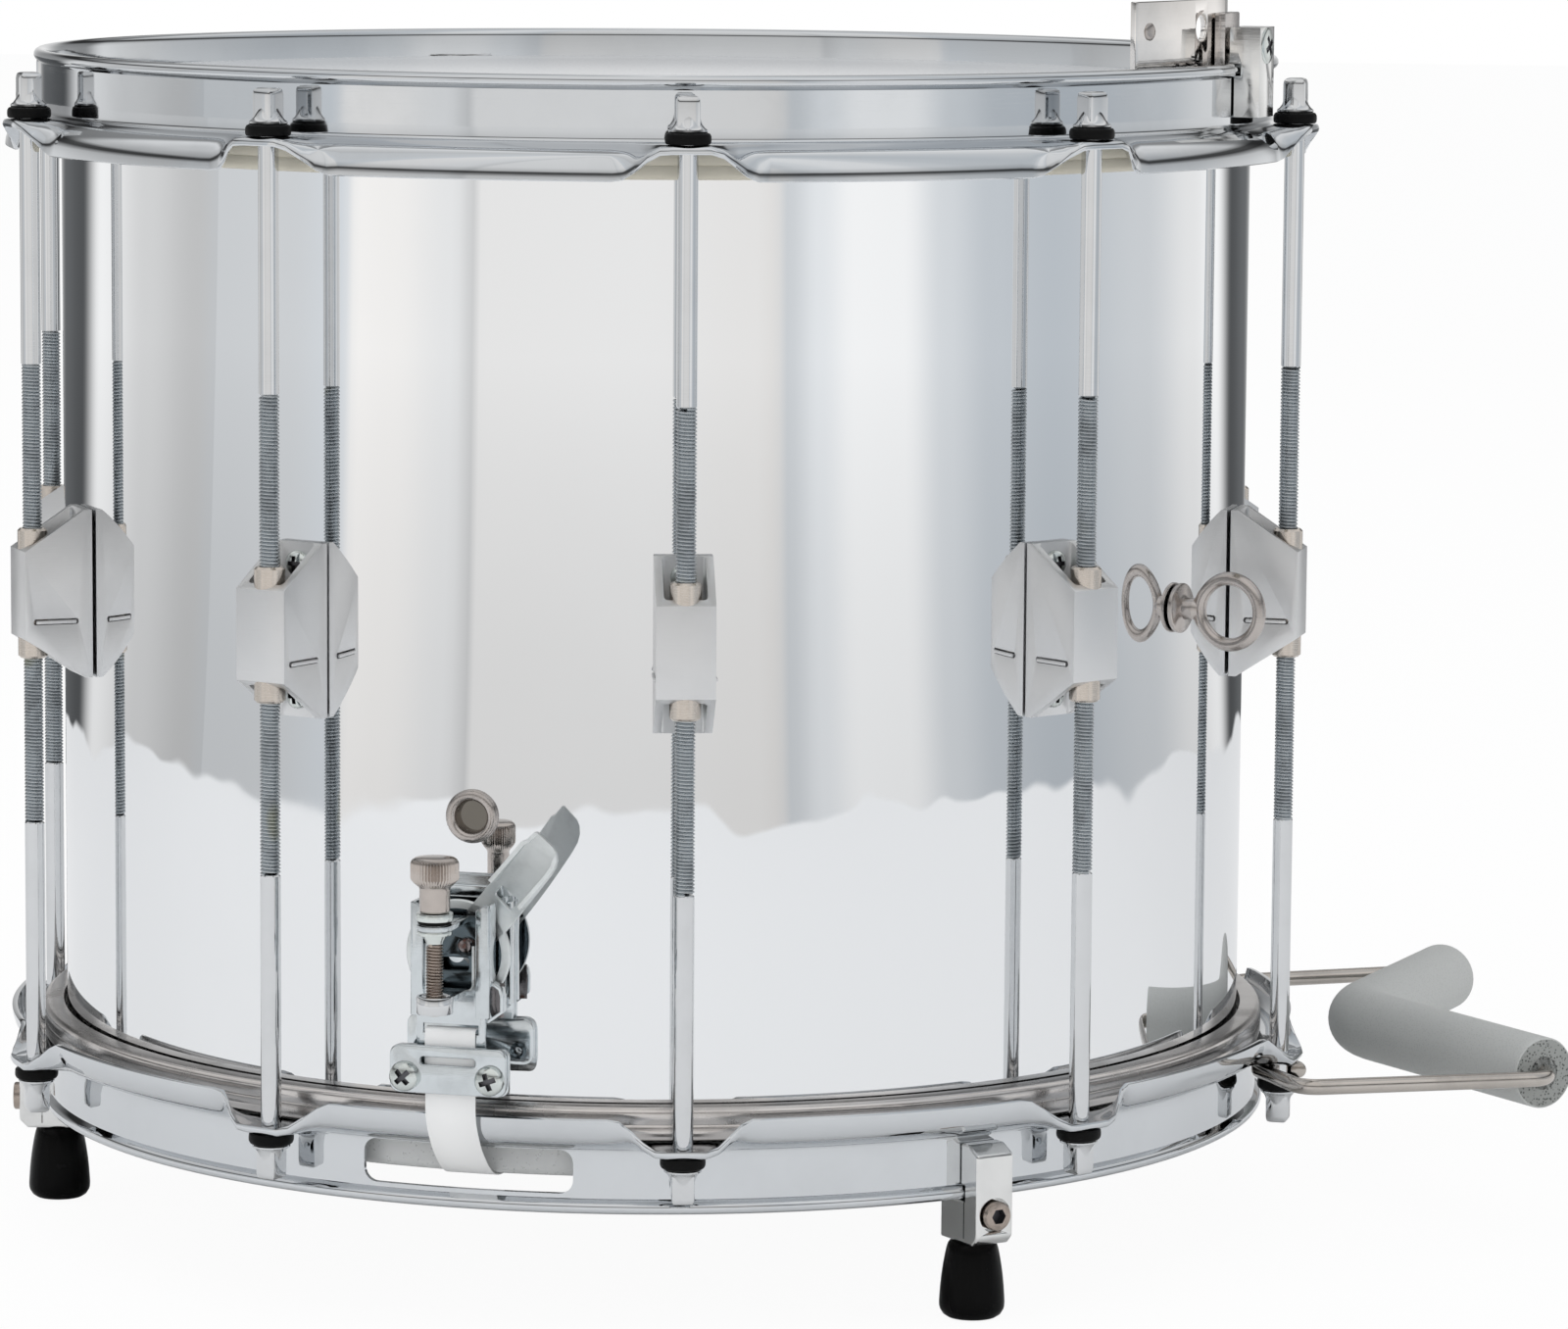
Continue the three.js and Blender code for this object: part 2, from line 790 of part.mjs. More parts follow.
// Slide that the lever's pin raises and lowers, with a tab that holds the adjusting screw
function throwOffSlide(parent) {
  const back = shellBack + slideSeat;
  const width = frameWidth - 2 * sheet - seatGap / 2;
  const plate = centredBlock(back, back + sheet, width, -slideTabDrop - slideHeight, -slideTabDrop);
  const tab = screwTab(back, slideTabWidth, -slideTabDrop - sheet, -slideTabDrop);
  const room = camPinDiameter / 2 + seatGap;
  const slot = block(
    back - cutOverrun,
    back + cutOverrun,
    camSide - room,
    camRadius + room,
    -pivotDrop + camTravel / 2 - room,
    -pivotDrop + camTravel / 2 + room,
  );
  const slide = cut(joined(plate, tab), slot, screwHole(screwShankDiameter + screwHoleGap));
  place(parent, "throw_off_slide", slide, finishes.zinc);
}

// Adjusting screw with its knurled knob and the washers on both sides of the tab
function throwOffKnob(parent) {
  const knobBottom = -knobTopDrop - knobHeight;
  const washer = -slideTabDrop + fitGap;
  const collar = -slideTabDrop - sheet - fitGap;
  const neck = collar - screwCollarThickness;
  const thread = neck - screwNeckLength;
  const edge = knobHeight / 10;
  const screw = turned(
    [
      [0, -screwEndDrop],
      [screwThreadDiameter / 2, -screwEndDrop],
      [screwThreadDiameter / 2, thread],
      [screwNeckDiameter / 2, thread],
      [screwNeckDiameter / 2, neck],
      [screwCollarDiameter / 2, neck],
      [screwCollarDiameter / 2, collar],
      [screwShankDiameter / 2, collar],
      [screwShankDiameter / 2, washer],
      [screwWasherDiameter / 2, washer],
      [screwWasherDiameter / 2, washer + screwWasherThickness],
      [knobNeckDiameter / 2, washer + screwWasherThickness],
      [knobNeckDiameter / 2, knobBottom - edge],
      [knobDiameter / 2, knobBottom + edge],
      [knobDiameter / 2, -knobTopDrop - edge],
      [knobDiameter / 2 - edge, -knobTopDrop],
      [0, -knobTopDrop],
    ],
    12,
  );
  place(parent, "throw_off_knob", screw.translate(shellRadius + screwStandOff, 0, 0), finishes.nickel);
}

// Carriage that the screw moves on the slide: a plate with a threaded tab and a wide foot
function strapCarriage(parent) {
  const back = shellBack + carriageSeat;
  const width = frameWidth - 2 * sheet - seatGap / 2;
  const neck = centredBlock(back, back + sheet, width, -carriageNeckBottom - sheet, -carriageTopDrop);
  const foot = centredBlock(back, back + sheet, clampWidth, -carriageFootBottom, -carriageNeckBottom);
  const tab = screwTab(back, carriageTabWidth, -carriageTabDrop - sheet, -carriageTabDrop);
  const boss = upright(
    carriageTabWidth / 2,
    -carriageTabDrop - carriageBossHeight + sheet,
    -carriageTabDrop + sheet,
    12,
  ).translate(shellRadius + screwStandOff, 0, 0);
  const lanced = centredBlock(
    back - cutOverrun,
    back + cutOverrun,
    carriageTabWidth + 2 * sheet,
    -carriageTabDrop,
    -carriageTopDrop + cutOverrun,
  );
  const strapSlot = centredBlock(
    back - cutOverrun,
    back + cutOverrun,
    strapWidth + sheet,
    -strapSlotDrop - strapSlotHeight,
    -strapSlotDrop,
  );
  const plate = joined(cut(joined(neck, foot), lanced, strapSlot), tab, boss);
  const carriage = cut(plate, screwHole(screwThreadDiameter + screwHoleGap));
  place(parent, "strap_carriage", carriage, finishes.zinc);
}

// Rounded plate that clamps the strap, with a slot across it
function clampOutline() {
  const half = clampWidth / 2;
  const corner = clampHeight / 6;
  return [
    [-half + corner, -clampHeight / 2],
    [half - corner, -clampHeight / 2],
    [half, -clampHeight / 2 + corner],
    [half, clampHeight / 2 - corner],
    [half - corner, clampHeight / 2],
    [-half + corner, clampHeight / 2],
    [-half, clampHeight / 2 - corner],
    [-half, -clampHeight / 2 + corner],
  ];
}

function clampPlate() {
  const back = shellBack + carriageSeat + sheet + strapThickness + 2 * fitGap;
  const slotTop = clampHeight / 2 - clampSlotMargin;
  const slot = centredBlock(
    back - cutOverrun,
    back + cutOverrun,
    strapWidth + sheet,
    slotTop - clampSlotHeight,
    slotTop,
  );
  const plate = cut(frontProfile(clampOutline(), back, back + clampSheet), slot);
  return plate.translate(0, 0, -carriageFootBottom + clampHeight / 2 + fitGap);
}

// Strap from its clamp, round the hoop's skirt and through the gate to the strands' end plate
function strap(parent, name) {
  const back = shellBack + carriageSeat + sheet + fitGap;
  const front = back + strapThickness;
  const skirt = hoopOuter + skirtReach;
  const rim = -drumDepth + snareFlangeDrop + skirtDrop;
  const under = -drumDepth - strandDiameter / 2 - fitGap;
  const inner = strandSpan / 2 + fitGap;
  const route = [
    [back, -strapSlotDrop - strapSlotHeight],
    [back, rim],
    ...strapBendShares.map(([reach, drop]) => [skirt - skirtReach * reach, rim - skirtDrop * drop]),
    [shellRadius - fitGap, -drumDepth - fitGap - strapThickness / 2],
    [inner, under - strapThickness / 2],
  ];
  const outer = route.map(([x, z], index) => {
    const [ax, az] = route[Math.max(index - 1, 0)];
    const [bx, bz] = route[Math.min(index + 1, route.length - 1)];
    const length = Math.hypot(bx - ax, bz - az);
    return [x - (strapThickness * (bz - az)) / length, z + (strapThickness * (bx - ax)) / length];
  });
  outer[0] = [front, route[0][1]];
  const ribbon = sideProfile([...route, ...outer.reverse()], -strapWidth / 2, strapWidth / 2);
  place(parent, name, ribbon, finishes.strap);
}

// Snare strands between their two end plates, across the snare head
function snareStrands(parent) {
  const reach = strandSpan / 2;
  const top = -drumDepth - fitGap;
  const bottom = top - strandDiameter;
  const middle = (top + bottom) / 2;
  const plates = [-1, 1].map((side) => {
    const ends = [side * reach, side * (reach - strandPlateLength)].sort((a, b) => a - b);
    const half = strandPlateSheet / 2;
    return centredBlock(...ends, strandPlateWidth, middle - half, middle + half);
  });
  const strands = Array.from({ length: strandCount }, (_, index) => {
    const side = (index - (strandCount - 1) / 2) * strandPitch;
    const length = reach - strandPlateLength / 2;
    return block(-length, length, side - strandDiameter / 2, side + strandDiameter / 2, bottom, top);
  });
  place(parent, "snare_strands", joined(...plates, ...strands), finishes.strands);
}

// Butt plate: a bracket opposite the throw-off, with a fixed clamp for the other strap
function buttPlate(parent) {
  const back = shellBack + carriageSeat;
  const faceTop = -buttTopDrop;
  const plate = centredBlock(shellBack, shellBack + sheet, strainerPlateWidth, -carriageNeckBottom, faceTop);
  const ears = centredBlock(
    shellBack,
    shellBack + sheet,
    earWidth,
    -strainerPlateBottom - earHeight,
    -strainerPlateBottom + sheet,
  );
  const half = strainerPlateWidth / 2;
  const webs = [-1, 1].map((side) => {
    const wall = [side * half, side * (half - sheet)].sort((a, b) => a - b);
    return block(shellBack, back + sheet, ...wall, faceTop - buttWebHeight, faceTop);
  });
  const face = centredBlock(back, back + sheet, strainerPlateWidth, -carriageFootBottom, faceTop);
  const foot = centredBlock(back, back + sheet, clampWidth, -carriageFootBottom, -carriageNeckBottom);
  const pads = [-1, 1].map((side) => {
    const pad = [side * (clampWidth / 2 - sheet), (side * (strapWidth + sheet)) / 2].sort((a, b) => a - b);
    return block(
      back,
      back + 2 * sheet,
      ...pad,
      -carriageFootBottom + 2 * sheet,
      -carriageNeckBottom - 2 * sheet,
    );
  });
  const rivets = [-1, 1].map((side) =>
    radial(earHoleDiameter / 2, shellBack - cutOverrun, shellBack + cutOverrun, 8).translate(
      0,
      (side * earHoleSpacing) / 2,
      -strainerPlateBottom - earHeight * earHoleShare,
    ),
  );
  const bracket = cut(joined(plate, ears, ...webs, face, foot, ...pads, clampPlate()), ...rivets);
  place(parent, "butt_plate", bracket, finishes.zinc);
}

function strainer() {
  const front = station(strainerAngle);
  throwOffBase(front);
  throwOffLever(front);
  throwOffSlide(front);
  throwOffKnob(front);
  strapCarriage(front);
  place(front, "strap_clamp_front", clampPlate(), finishes.zinc);
  strap(front, "snare_strap_front");
  snareStrands(front);
  const rear = station(strainerAngle + 180);
  buttPlate(rear);
  strap(rear, "snare_strap_rear");
}

// Clamp that grips the snare hoop's bead and carries a foot
function legClampGeometry() {
  const outer = shellRadius + legClampReach;
  const inner = shellRadius - legClampInset;
  const wallIn = hoopInner - fitGap;
  const wallOut = hoopOuter + fitGap;
  const beadOut = beadCentre + beadRadius + fitGap;
  const bead = -drumDepth + snareFlangeDrop - beadAboveFlange;
  const pocket = bead - beadRadius - fitGap;
  const roof = bead + beadRadius + legClampBeadRoom;
  const jawTop = -drumDepth - strandDiameter - fitGap;
  return sideProfile(
    [
      [inner, -legClampBottom],
      [outer - legClampChamfer, -legClampBottom],
      [outer, -legClampBottom + legClampChamfer],
      [outer, -legClampTop - legClampChamfer],
      [outer - 2 * legClampChamfer, -legClampTop],
      [wallOut, -legClampTop],
      [wallOut, roof],
      [beadOut, roof],
      [beadOut, pocket],
      [wallIn, pocket],
      [wallIn, jawTop],
      [wallIn - legClampChamfer, jawTop],
      [inner, jawTop - legClampChamfer],
    ],
    -legClampWidth / 2,
    legClampWidth / 2,
  );
}

// Rubber foot, widest a little above the floor
function footGeometry() {
  const top = -legClampBottom - fitGap;
  const bottom = top - footHeight;
  const bulge = bottom + footHeight * footBulgeShare;
  const foot = turned(
    [
      [0, bottom],
      [footBottomDiameter / 2, bottom],
      [footDiameter / 2, bulge],
      [(footDiameter + footTopDiameter) / 4, (top + bottom) / 2],
      [footTopDiameter / 2, top - footHeight / 10],
      [footTopDiameter / 2 - footHeight / 20, top],
      [0, top],
    ],
    14,
  );
  return foot.translate(shellRadius + legClampInset - footInset / 4, 0, 0);
}

function feet() {
  footAngles.forEach((angle, index) => {
    const seat = station(angle);
    place(seat, "leg_clamp_" + (index + 1), legClampGeometry(), finishes.cast);
    place(seat, "foot_" + (index + 1), footGeometry(), finishes.rubber);
  });
}

// Carrying clamp on the batter hoop: an outer and an inner jaw, and the curved plate with the sling hole
function carryingClamp() {
  const seat = station(carryAngle);
  const bead = beadAboveFlange - batterFlangeDrop;
  const wallOut = hoopOuter + fitGap;
  const beadOut = beadCentre + beadRadius + fitGap;
  const outer = shellRadius + carryReach;
  const roof = bead + beadRadius + fitGap;
  const outerJaw = sideProfile(
    [
      [wallOut, -carryFoot],
      [outer, -carryFoot],
      [outer, carryTop],
      [hoopInner + carryJawGap, carryTop],
      [hoopInner + carryJawGap, roof],
      [beadOut, roof],
      [beadOut, bead - beadRadius],
      [wallOut, bead - beadRadius],
    ],
    -carryWidth / 2,
    carryWidth / 2,
  );
  const bore = radial(carryScrewDiameter / 2 + fitGap, shellRadius, outer + cutOverrun, 8).translate(
    0,
    0,
    carryScrewHeight,
  );
  place(seat, "carrying_clamp_outer", cut(outerJaw, bore), finishes.cast);
  const jawFront = hoopInner - carryJawGap;
  const jaw = centredBlock(jawFront - carryJaw, jawFront, carryWidth, carryJawBottom, carryJawTop);
  const screwStart = jawFront - carryJaw / 2;
  const screw = radial(carryScrewDiameter / 2, screwStart, outer, 8).translate(0, 0, carryScrewHeight);
  place(seat, "carrying_clamp_inner", joined(jaw, screw), finishes.cast);
  const plateOuter = jawFront - carryJaw - fitGap;
  const plateInner = plateOuter - carryPlateSheet;
  const end = carryAngle + (carryWidth / 2 / plateOuter) / degree;
  const arc = Array.from({ length: carryPlateSteps + 1 }, (_, step) => {
    const angle = carryPlateStart + ((end - carryPlateStart) * step) / carryPlateSteps;
    return new THREE.Vector2(Math.sin(angle * degree), -Math.cos(angle * degree));
  });
  const outline = [
    ...arc.map((point) => point.clone().multiplyScalar(plateOuter)),
    ...arc.reverse().map((point) => point.clone().multiplyScalar(plateInner)),
  ];
  const strip = new THREE.ExtrudeGeometry(new THREE.Shape(outline), {
    depth: carryPlateTop - carryPlateBottom,
    bevelEnabled: false,
  }).translate(0, 0, carryPlateBottom);
  const hole = radial(carryHoleDiameter / 2, plateInner - cutOverrun, plateOuter + cutOverrun, 12)
    .translate(0, 0, carryHoleHeight)
    .rotateZ((carryHoleAngle - 90) * degree);
  place(drum, "carrying_plate", cut(strip, hole), finishes.stainless);
}

// A corner of a plan route, rounded with an arc that meets both of its lines
function roundCorner(route, before, corner, after, radius) {
  const back = before.clone().sub(corner).normalize();
  const onward = after.clone().sub(corner).normalize();
  const half = Math.acos(back.dot(onward)) / 2;
  const start = corner.clone().addScaledVector(back, radius / Math.tan(half));
  const end = corner.clone().addScaledVector(onward, radius / Math.tan(half));
  const centre = corner.clone().addScaledVector(back.clone().add(onward).normalize(), radius / Math.sin(half));
  const clockwise = back.cross(onward) > 0;
  route.lineTo(start.x, start.y);
  route.absarc(
    centre.x,
    centre.y,
    radius,
    start.clone().sub(centre).angle(),
    end.clone().sub(centre).angle(),
    clockwise,
  );
}

// Hook round a rod: turn is 1 for a hook that runs counterclockwise and -1 for one that runs clockwise
function hookAngles(rod, corner, turn) {
  const toCorner = corner.clone().sub(rod);
  const leaving = toCorner.angle() - turn * Math.acos(kneeHookRadius / toCorner.length());
  return { cut: -turn * kneeCutAngle * degree, leaving };
}

function lugPlace(index) {
  const angle = lugAngle(index) * degree;
  return new THREE.Vector2(rodCircle * Math.sin(angle), -rodCircle * Math.cos(angle));
}

// A level curve through a plan route's own points, close together in its bends and far apart between them
class LevelRoute extends THREE.Curve {
  constructor(route, bendSteps, level) {
    super();
    this.stops = route.getPoints(bendSteps).map((point) => new THREE.Vector3(point.x, point.y, level));
  }

  getPointAt(share) {
    return this.stops[Math.round(share * (this.stops.length - 1))].clone();
  }

  getTangentAt(share) {
    const index = Math.round(share * (this.stops.length - 1));
    const before = this.stops[Math.max(index - 1, 0)];
    const after = this.stops[Math.min(index + 1, this.stops.length - 1)];
    return after.clone().sub(before).normalize();
  }
}

function sweep(route, bendSteps, outline, level) {
  const path = new LevelRoute(route, bendSteps, level);
  const steps = path.stops.length - 1;
  return new THREE.ExtrudeGeometry(outline, { steps, extrudePath: path, bevelEnabled: false });
}

function ringShape(radius, sides) {
  const corners = Array.from({ length: sides }, (_, index) => {
    const angle = (index / sides) * 2 * Math.PI;
    return new THREE.Vector2(radius * Math.cos(angle), radius * Math.sin(angle));
  });
  return new THREE.Shape(corners);
}

// Knee rest: one bent wire hooked round two bottom rods under the hoop's flange, and a foam tube on it
function kneeRest() {
  const level = -drumDepth + snareFlangeDrop - fitGap - kneeWireDiameter / 2;
  const corners = kneeCornerShares.map(([x, y]) => new THREE.Vector2(x, y).multiplyScalar(shellRadius));
  const frontRod = lugPlace(kneeFrontLug);
  const backRod = lugPlace(kneeFrontLug + 1);
  const front = hookAngles(frontRod, corners[0], 1);
  const back = hookAngles(backRod, corners[4], -1);
  const route = new THREE.Path();
  route.absarc(frontRod.x, frontRod.y, kneeHookRadius, front.cut, front.leaving, false);
  const stops = [frontRod, ...corners, backRod];
  corners.forEach((corner, index) => {
    const bend = index === 2 ? kneeApexBend : kneeBend;
    roundCorner(route, stops[index], corner, stops[index + 2], bend);
  });
  route.absarc(backRod.x, backRod.y, kneeHookRadius, back.leaving, back.cut, false);
  const wire = sweep(route, 3, ringShape(kneeWireDiameter / 2, 6), level);
  place(drum, "knee_rest_wire", wire, finishes.wire);
  const [, frontTurn, apex, backTurn] = corners;
  const boreFlat = (kneeFoamBore / 2) * Math.cos(Math.PI / 8);
  const seatShift = boreFlat - kneeWireDiameter / 2 - fitGap;
  const foamApex = new THREE.Vector2(apex.x - seatShift, apex.y);
  const frontEnd = frontTurn.clone().lerp(apex, kneeFoamFront / frontTurn.distanceTo(apex));
  const backEnd = backTurn.clone().lerp(apex, kneeFoamBack / backTurn.distanceTo(apex));
  const foamRoute = new THREE.Path();
  foamRoute.moveTo(frontEnd.x, frontEnd.y);
  roundCorner(foamRoute, frontEnd, foamApex, backEnd, kneeApexBend);
  foamRoute.lineTo(backEnd.x, backEnd.y);
  const foamOutline = ringShape(kneeFoamDiameter / 2, 12);
  foamOutline.holes.push(ringShape(kneeFoamBore / 2, 8));
  place(drum, "knee_rest_foam", sweep(foamRoute, 4, foamOutline, level), finishes.foam);
}

shell();
head(drum, "batter_head", batterFlangeDrop, batterFleshHeight);
head(snareSide, "snare_head", snareFlangeDrop, snareFleshHeight);
fleshHoop(drum, "batter_flesh_hoop", batterFlangeDrop, batterFleshHeight, finishes.creamHoop);
fleshHoop(snareSide, "snare_flesh_hoop", snareFlangeDrop, snareFleshHeight, finishes.satinHoop);
hoops();
lugsAndRods();
ventEyelet();
eyeRing();
strainer();
feet();
carryingClamp();
kneeRest();

export default drum;
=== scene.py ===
import math

import bmesh
import bpy
from mathutils import Matrix, Vector


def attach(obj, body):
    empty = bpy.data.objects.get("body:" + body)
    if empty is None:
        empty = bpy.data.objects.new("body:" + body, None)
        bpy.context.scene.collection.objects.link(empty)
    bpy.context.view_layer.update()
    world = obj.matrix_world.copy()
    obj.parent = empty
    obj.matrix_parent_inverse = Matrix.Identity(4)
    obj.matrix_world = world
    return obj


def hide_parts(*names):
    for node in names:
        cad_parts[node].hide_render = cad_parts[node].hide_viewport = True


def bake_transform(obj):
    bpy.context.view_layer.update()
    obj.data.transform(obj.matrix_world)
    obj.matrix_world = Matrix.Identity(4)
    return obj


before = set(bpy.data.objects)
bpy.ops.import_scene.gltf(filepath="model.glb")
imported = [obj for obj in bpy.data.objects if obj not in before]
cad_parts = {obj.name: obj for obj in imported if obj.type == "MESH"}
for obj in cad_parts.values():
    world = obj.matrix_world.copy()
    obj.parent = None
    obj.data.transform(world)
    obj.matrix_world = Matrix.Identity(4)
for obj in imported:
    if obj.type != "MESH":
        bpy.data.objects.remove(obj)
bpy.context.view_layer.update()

mm = 0.001
scene = bpy.context.scene

# Studio: a round sheet of white paper on the floor of a grey room, open to a broad soft ceiling.
# The room's tones are what the mirror-bright shell reflects: its walls and the end of the paper
# are seen only by glossy rays, and the camera sees plain white behind the drum.
foot_level = -340.8 * mm
paper_reach = 1.16


def tone(level, warmth=0.0):
    """A grey of that display level, warmer above 0 and cooler below it, as a linear colour."""
    shown = (level * (1 + warmth), level, level * (1 - warmth))
    return [((c + 0.055) / 1.055) ** 2.4 if c > 0.04 else c / 12.92 for c in shown] + [1]


def feed(tree, node, sockets):
    """Sets a node's sockets to values, or links them where another node's output is given."""
    for name, value in sockets.items():
        if isinstance(value, bpy.types.NodeSocket):
            tree.links.new(value, node.inputs[name])
        else:
            node.inputs[name].default_value = value


def add(tree, kind, out=None, sockets=None, **settings):
    """Adds a shader node and hands back its output of that name, or the node itself."""
    node = tree.nodes.new("ShaderNode" + kind)
    for name, value in settings.items():
        setattr(node, name, value)
    feed(tree, node, sockets or {})
    return node.outputs[out] if out else node


def ranged(tree, value, start, end, low=0.0, high=1.0, step="LINEAR"):
    """A value from the range start to end, brought to the range low to high."""
    return add(tree, "MapRange", "Result", {
        "Value": value, "From Min": start, "From Max": end, "To Min": low, "To Max": high,
    }, interpolation_type=step)


def mixed(tree, share, first, second, **settings):
    """The first colour going over to the second by a share."""
    sockets = {"Factor": share, "A": first, "B": second}
    return add(tree, "Mix", "Result", sockets, data_type="RGBA", **settings)


def reckoned(tree, operation, *values):
    """The result of a sum with the values."""
    return add(tree, "Math", "Value", dict(enumerate(values)), operation=operation)


def wall_tones(tree, direction):
    """The colour of the room by its bearing: soft vertical bands, brighter where a window stands."""
    bearing = add(tree, "TexGradient", "Fac", {"Vector": direction}, gradient_type="RADIAL")
    ramp = add(tree, "ValToRGB", None, {"Fac": bearing})
    ramp.color_ramp.interpolation = "EASE"
    stops = [
        (0.0, 0.84, -0.01), (0.05, 0.85, -0.01), (0.083, 0.88, -0.02), (0.092, 0.99, 0.01),
        (0.112, 0.98, 0.01), (0.145, 0.94, 0.0), (0.1575, 0.84, 0.0), (0.1605, 0.94, 0.005),
        (0.24, 0.945, 0.004), (0.3, 0.93, 0.008), (0.3105, 0.91, 0.01), (0.3165, 0.85, -0.015),
        (0.334, 0.94, -0.01), (0.352, 0.995, 0.0), (0.378, 0.99, 0.0), (0.402, 0.88, -0.015),
        (0.43, 0.81, -0.025), (0.47, 0.78, -0.03), (0.54, 0.84, -0.015), (0.59, 0.93, 0.0),
        (0.625, 1.0, 0.0), (0.652, 0.34, -0.02), (0.69, 0.42, -0.02), (0.75, 0.95, 0.0), (0.81, 0.4, -0.02),
        (0.855, 0.34, -0.02), (0.885, 0.98, 0.0), (0.94, 0.86, 0.0), (0.985, 0.79, 0.0), (1.0, 0.80, -0.01),
    ]
    while len(ramp.color_ramp.elements) < len(stops):
        ramp.color_ramp.elements.new(0.5)
    for element, (place, level, warmth) in zip(ramp.color_ramp.elements, stops):
        element.position = place
        element.color = tone(level, warmth)
    return ramp.outputs["Color"]


def paper_and_floor():
    """White paper round the drum, lit below it. Gloss sees the room's walls beyond the paper's edge."""
    material = bpy.data.materials.new("paper_and_floor")
    material.use_nodes = True
    tree = material.node_tree
    tree.nodes.clear()
    place = add(tree, "TexCoord", "Object")
    ripple = add(tree, "TexNoise", "Fac", {"Vector": place, "Scale": 3.2, "Detail": 1.5})
    distance = add(tree, "VectorMath", "Value", {0: place}, operation="LENGTH")
    uneven = reckoned(tree, "MULTIPLY_ADD", ripple, 0.3, distance)
    beyond = ranged(tree, uneven, paper_reach + 0.14, paper_reach + 0.165, step="SMOOTHSTEP")
    fading = ranged(tree, distance, 0.15, 0.25, 0.2, 0.95, step="SMOOTHSTEP")
    rays = add(tree, "LightPath").outputs
    room = add(tree, "Emission", "Emission", {
        "Color": wall_tones(tree, place), "Strength": ranged(tree, distance, paper_reach, 3.4, 0.84, 1.03),
    })
    near = add(tree, "MixShader", "Shader", {
        "Fac": reckoned(tree, "MULTIPLY", rays["Is Camera Ray"], fading),
        1: add(tree, "BsdfDiffuse", "BSDF", {"Color": (0.9, 0.9, 0.895, 1)}),
        2: add(tree, "Emission", "Emission"),
    })
    far = add(tree, "MixShader", "Shader", {
        "Fac": reckoned(tree, "MULTIPLY", rays["Is Glossy Ray"], beyond), 1: near, 2: room,
    })
    add(tree, "OutputMaterial", None, {"Surface": far})
    return material


floor_mesh = bmesh.new()
bmesh.ops.create_circle(floor_mesh, cap_ends=True, segments=96, radius=9)
bmesh.ops.translate(floor_mesh, vec=(0, 0, foot_level - 0.2 * mm), verts=floor_mesh.verts)
floor_data = bpy.data.meshes.new("floor")
floor_mesh.to_mesh(floor_data)
floor_mesh.free()
floor_data.materials.append(paper_and_floor())
studio_floor = bpy.data.objects.new("floor", floor_data)
scene.collection.objects.link(studio_floor)

sky = bpy.data.worlds.new("soft_room")
sky.use_nodes = True
scene.world = sky
room_tree = sky.node_tree
room_tree.nodes.clear()
bearing = add(room_tree, "TexCoord", "Generated")
ceiling = add(room_tree, "ValToRGB", None, {"Fac": add(room_tree, "SeparateXYZ", "Z", {"Vector": bearing})})
for place, level in ((0.06, 0.95), (0.2, 0.86), (0.3, 0.3), (0.36, 0.34), (0.42, 0.82), (0.6, 0.97)):
    ceiling.color_ramp.elements.new(place).color = tone(level)
ceiling.color_ramp.elements[0].color = tone(0.98)
ceiling.color_ramp.elements[-1].color = tone(1.0)
rays = add(room_tree, "LightPath").outputs
banded = mixed(
    room_tree, 0.7, ceiling.outputs["Color"], wall_tones(room_tree, bearing), blend_type="MULTIPLY",
)
lit = mixed(room_tree, rays["Is Glossy Ray"], (0.62, 0.63, 0.65, 1), banded)
open_white = mixed(room_tree, rays["Is Camera Ray"], lit, (1, 1, 1, 1))
backdrop = add(room_tree, "Background", "Background", {"Color": open_white})
add(room_tree, "OutputWorld", None, {"Surface": backdrop})


def soft_box(name, place, aim, width, depth, power):
    """A broad lamp that gloss does not see."""
    lamp = bpy.data.lights.new(name, "AREA")
    lamp.shape = "RECTANGLE"
    lamp.size = width
    lamp.size_y = depth
    lamp.energy = power
    box = bpy.data.objects.new(name, lamp)
    box.location = place
    box.rotation_mode = "QUATERNION"
    box.rotation_quaternion = (Vector(aim) - Vector(place)).to_track_quat("-Z", "Y")
    box.visible_glossy = False
    scene.collection.objects.link(box)


soft_box("ceiling_box", (-0.3, -0.5, 2.3), (0, 0, -0.1), 2.6, 2.2, 26)
soft_box("left_box", (-2.3, -1.7, 1.0), (0, 0, -0.15), 0.9, 1.6, 11)
soft_box("right_box", (2.4, -0.9, 0.8), (0, 0, -0.15), 0.6, 1.4, 6)

# Camera: a long lens a little above the batter hoop, turned a touch and leaning a touch,
# solved from the drum's own rods and hoops.
view_pitch, view_yaw, view_roll = 0.1312, 0.0200, 0.0073
ahead = Vector((
    math.sin(view_yaw) * math.cos(view_pitch),
    math.cos(view_yaw) * math.cos(view_pitch),
    -math.sin(view_pitch),
))
level_right = Vector((math.cos(view_yaw), -math.sin(view_yaw), 0))
level_up = level_right.cross(ahead)
right = math.cos(view_roll) * level_right + math.sin(view_roll) * level_up
up = math.cos(view_roll) * level_up - math.sin(view_roll) * level_right
lens = bpy.data.cameras.new("view")
lens.sensor_width = 36
lens.lens = 149.97
lens.clip_start = 0.05
lens.clip_end = 60
eye = bpy.data.objects.new("view", lens)
turn = Matrix((right, up, -ahead)).transposed().to_4x4()
eye.matrix_world = Matrix.Translation((0, -1.957, 0.0819)) @ turn
scene.collection.objects.link(eye)
scene.camera = eye
scene.view_settings.view_transform = "Standard"

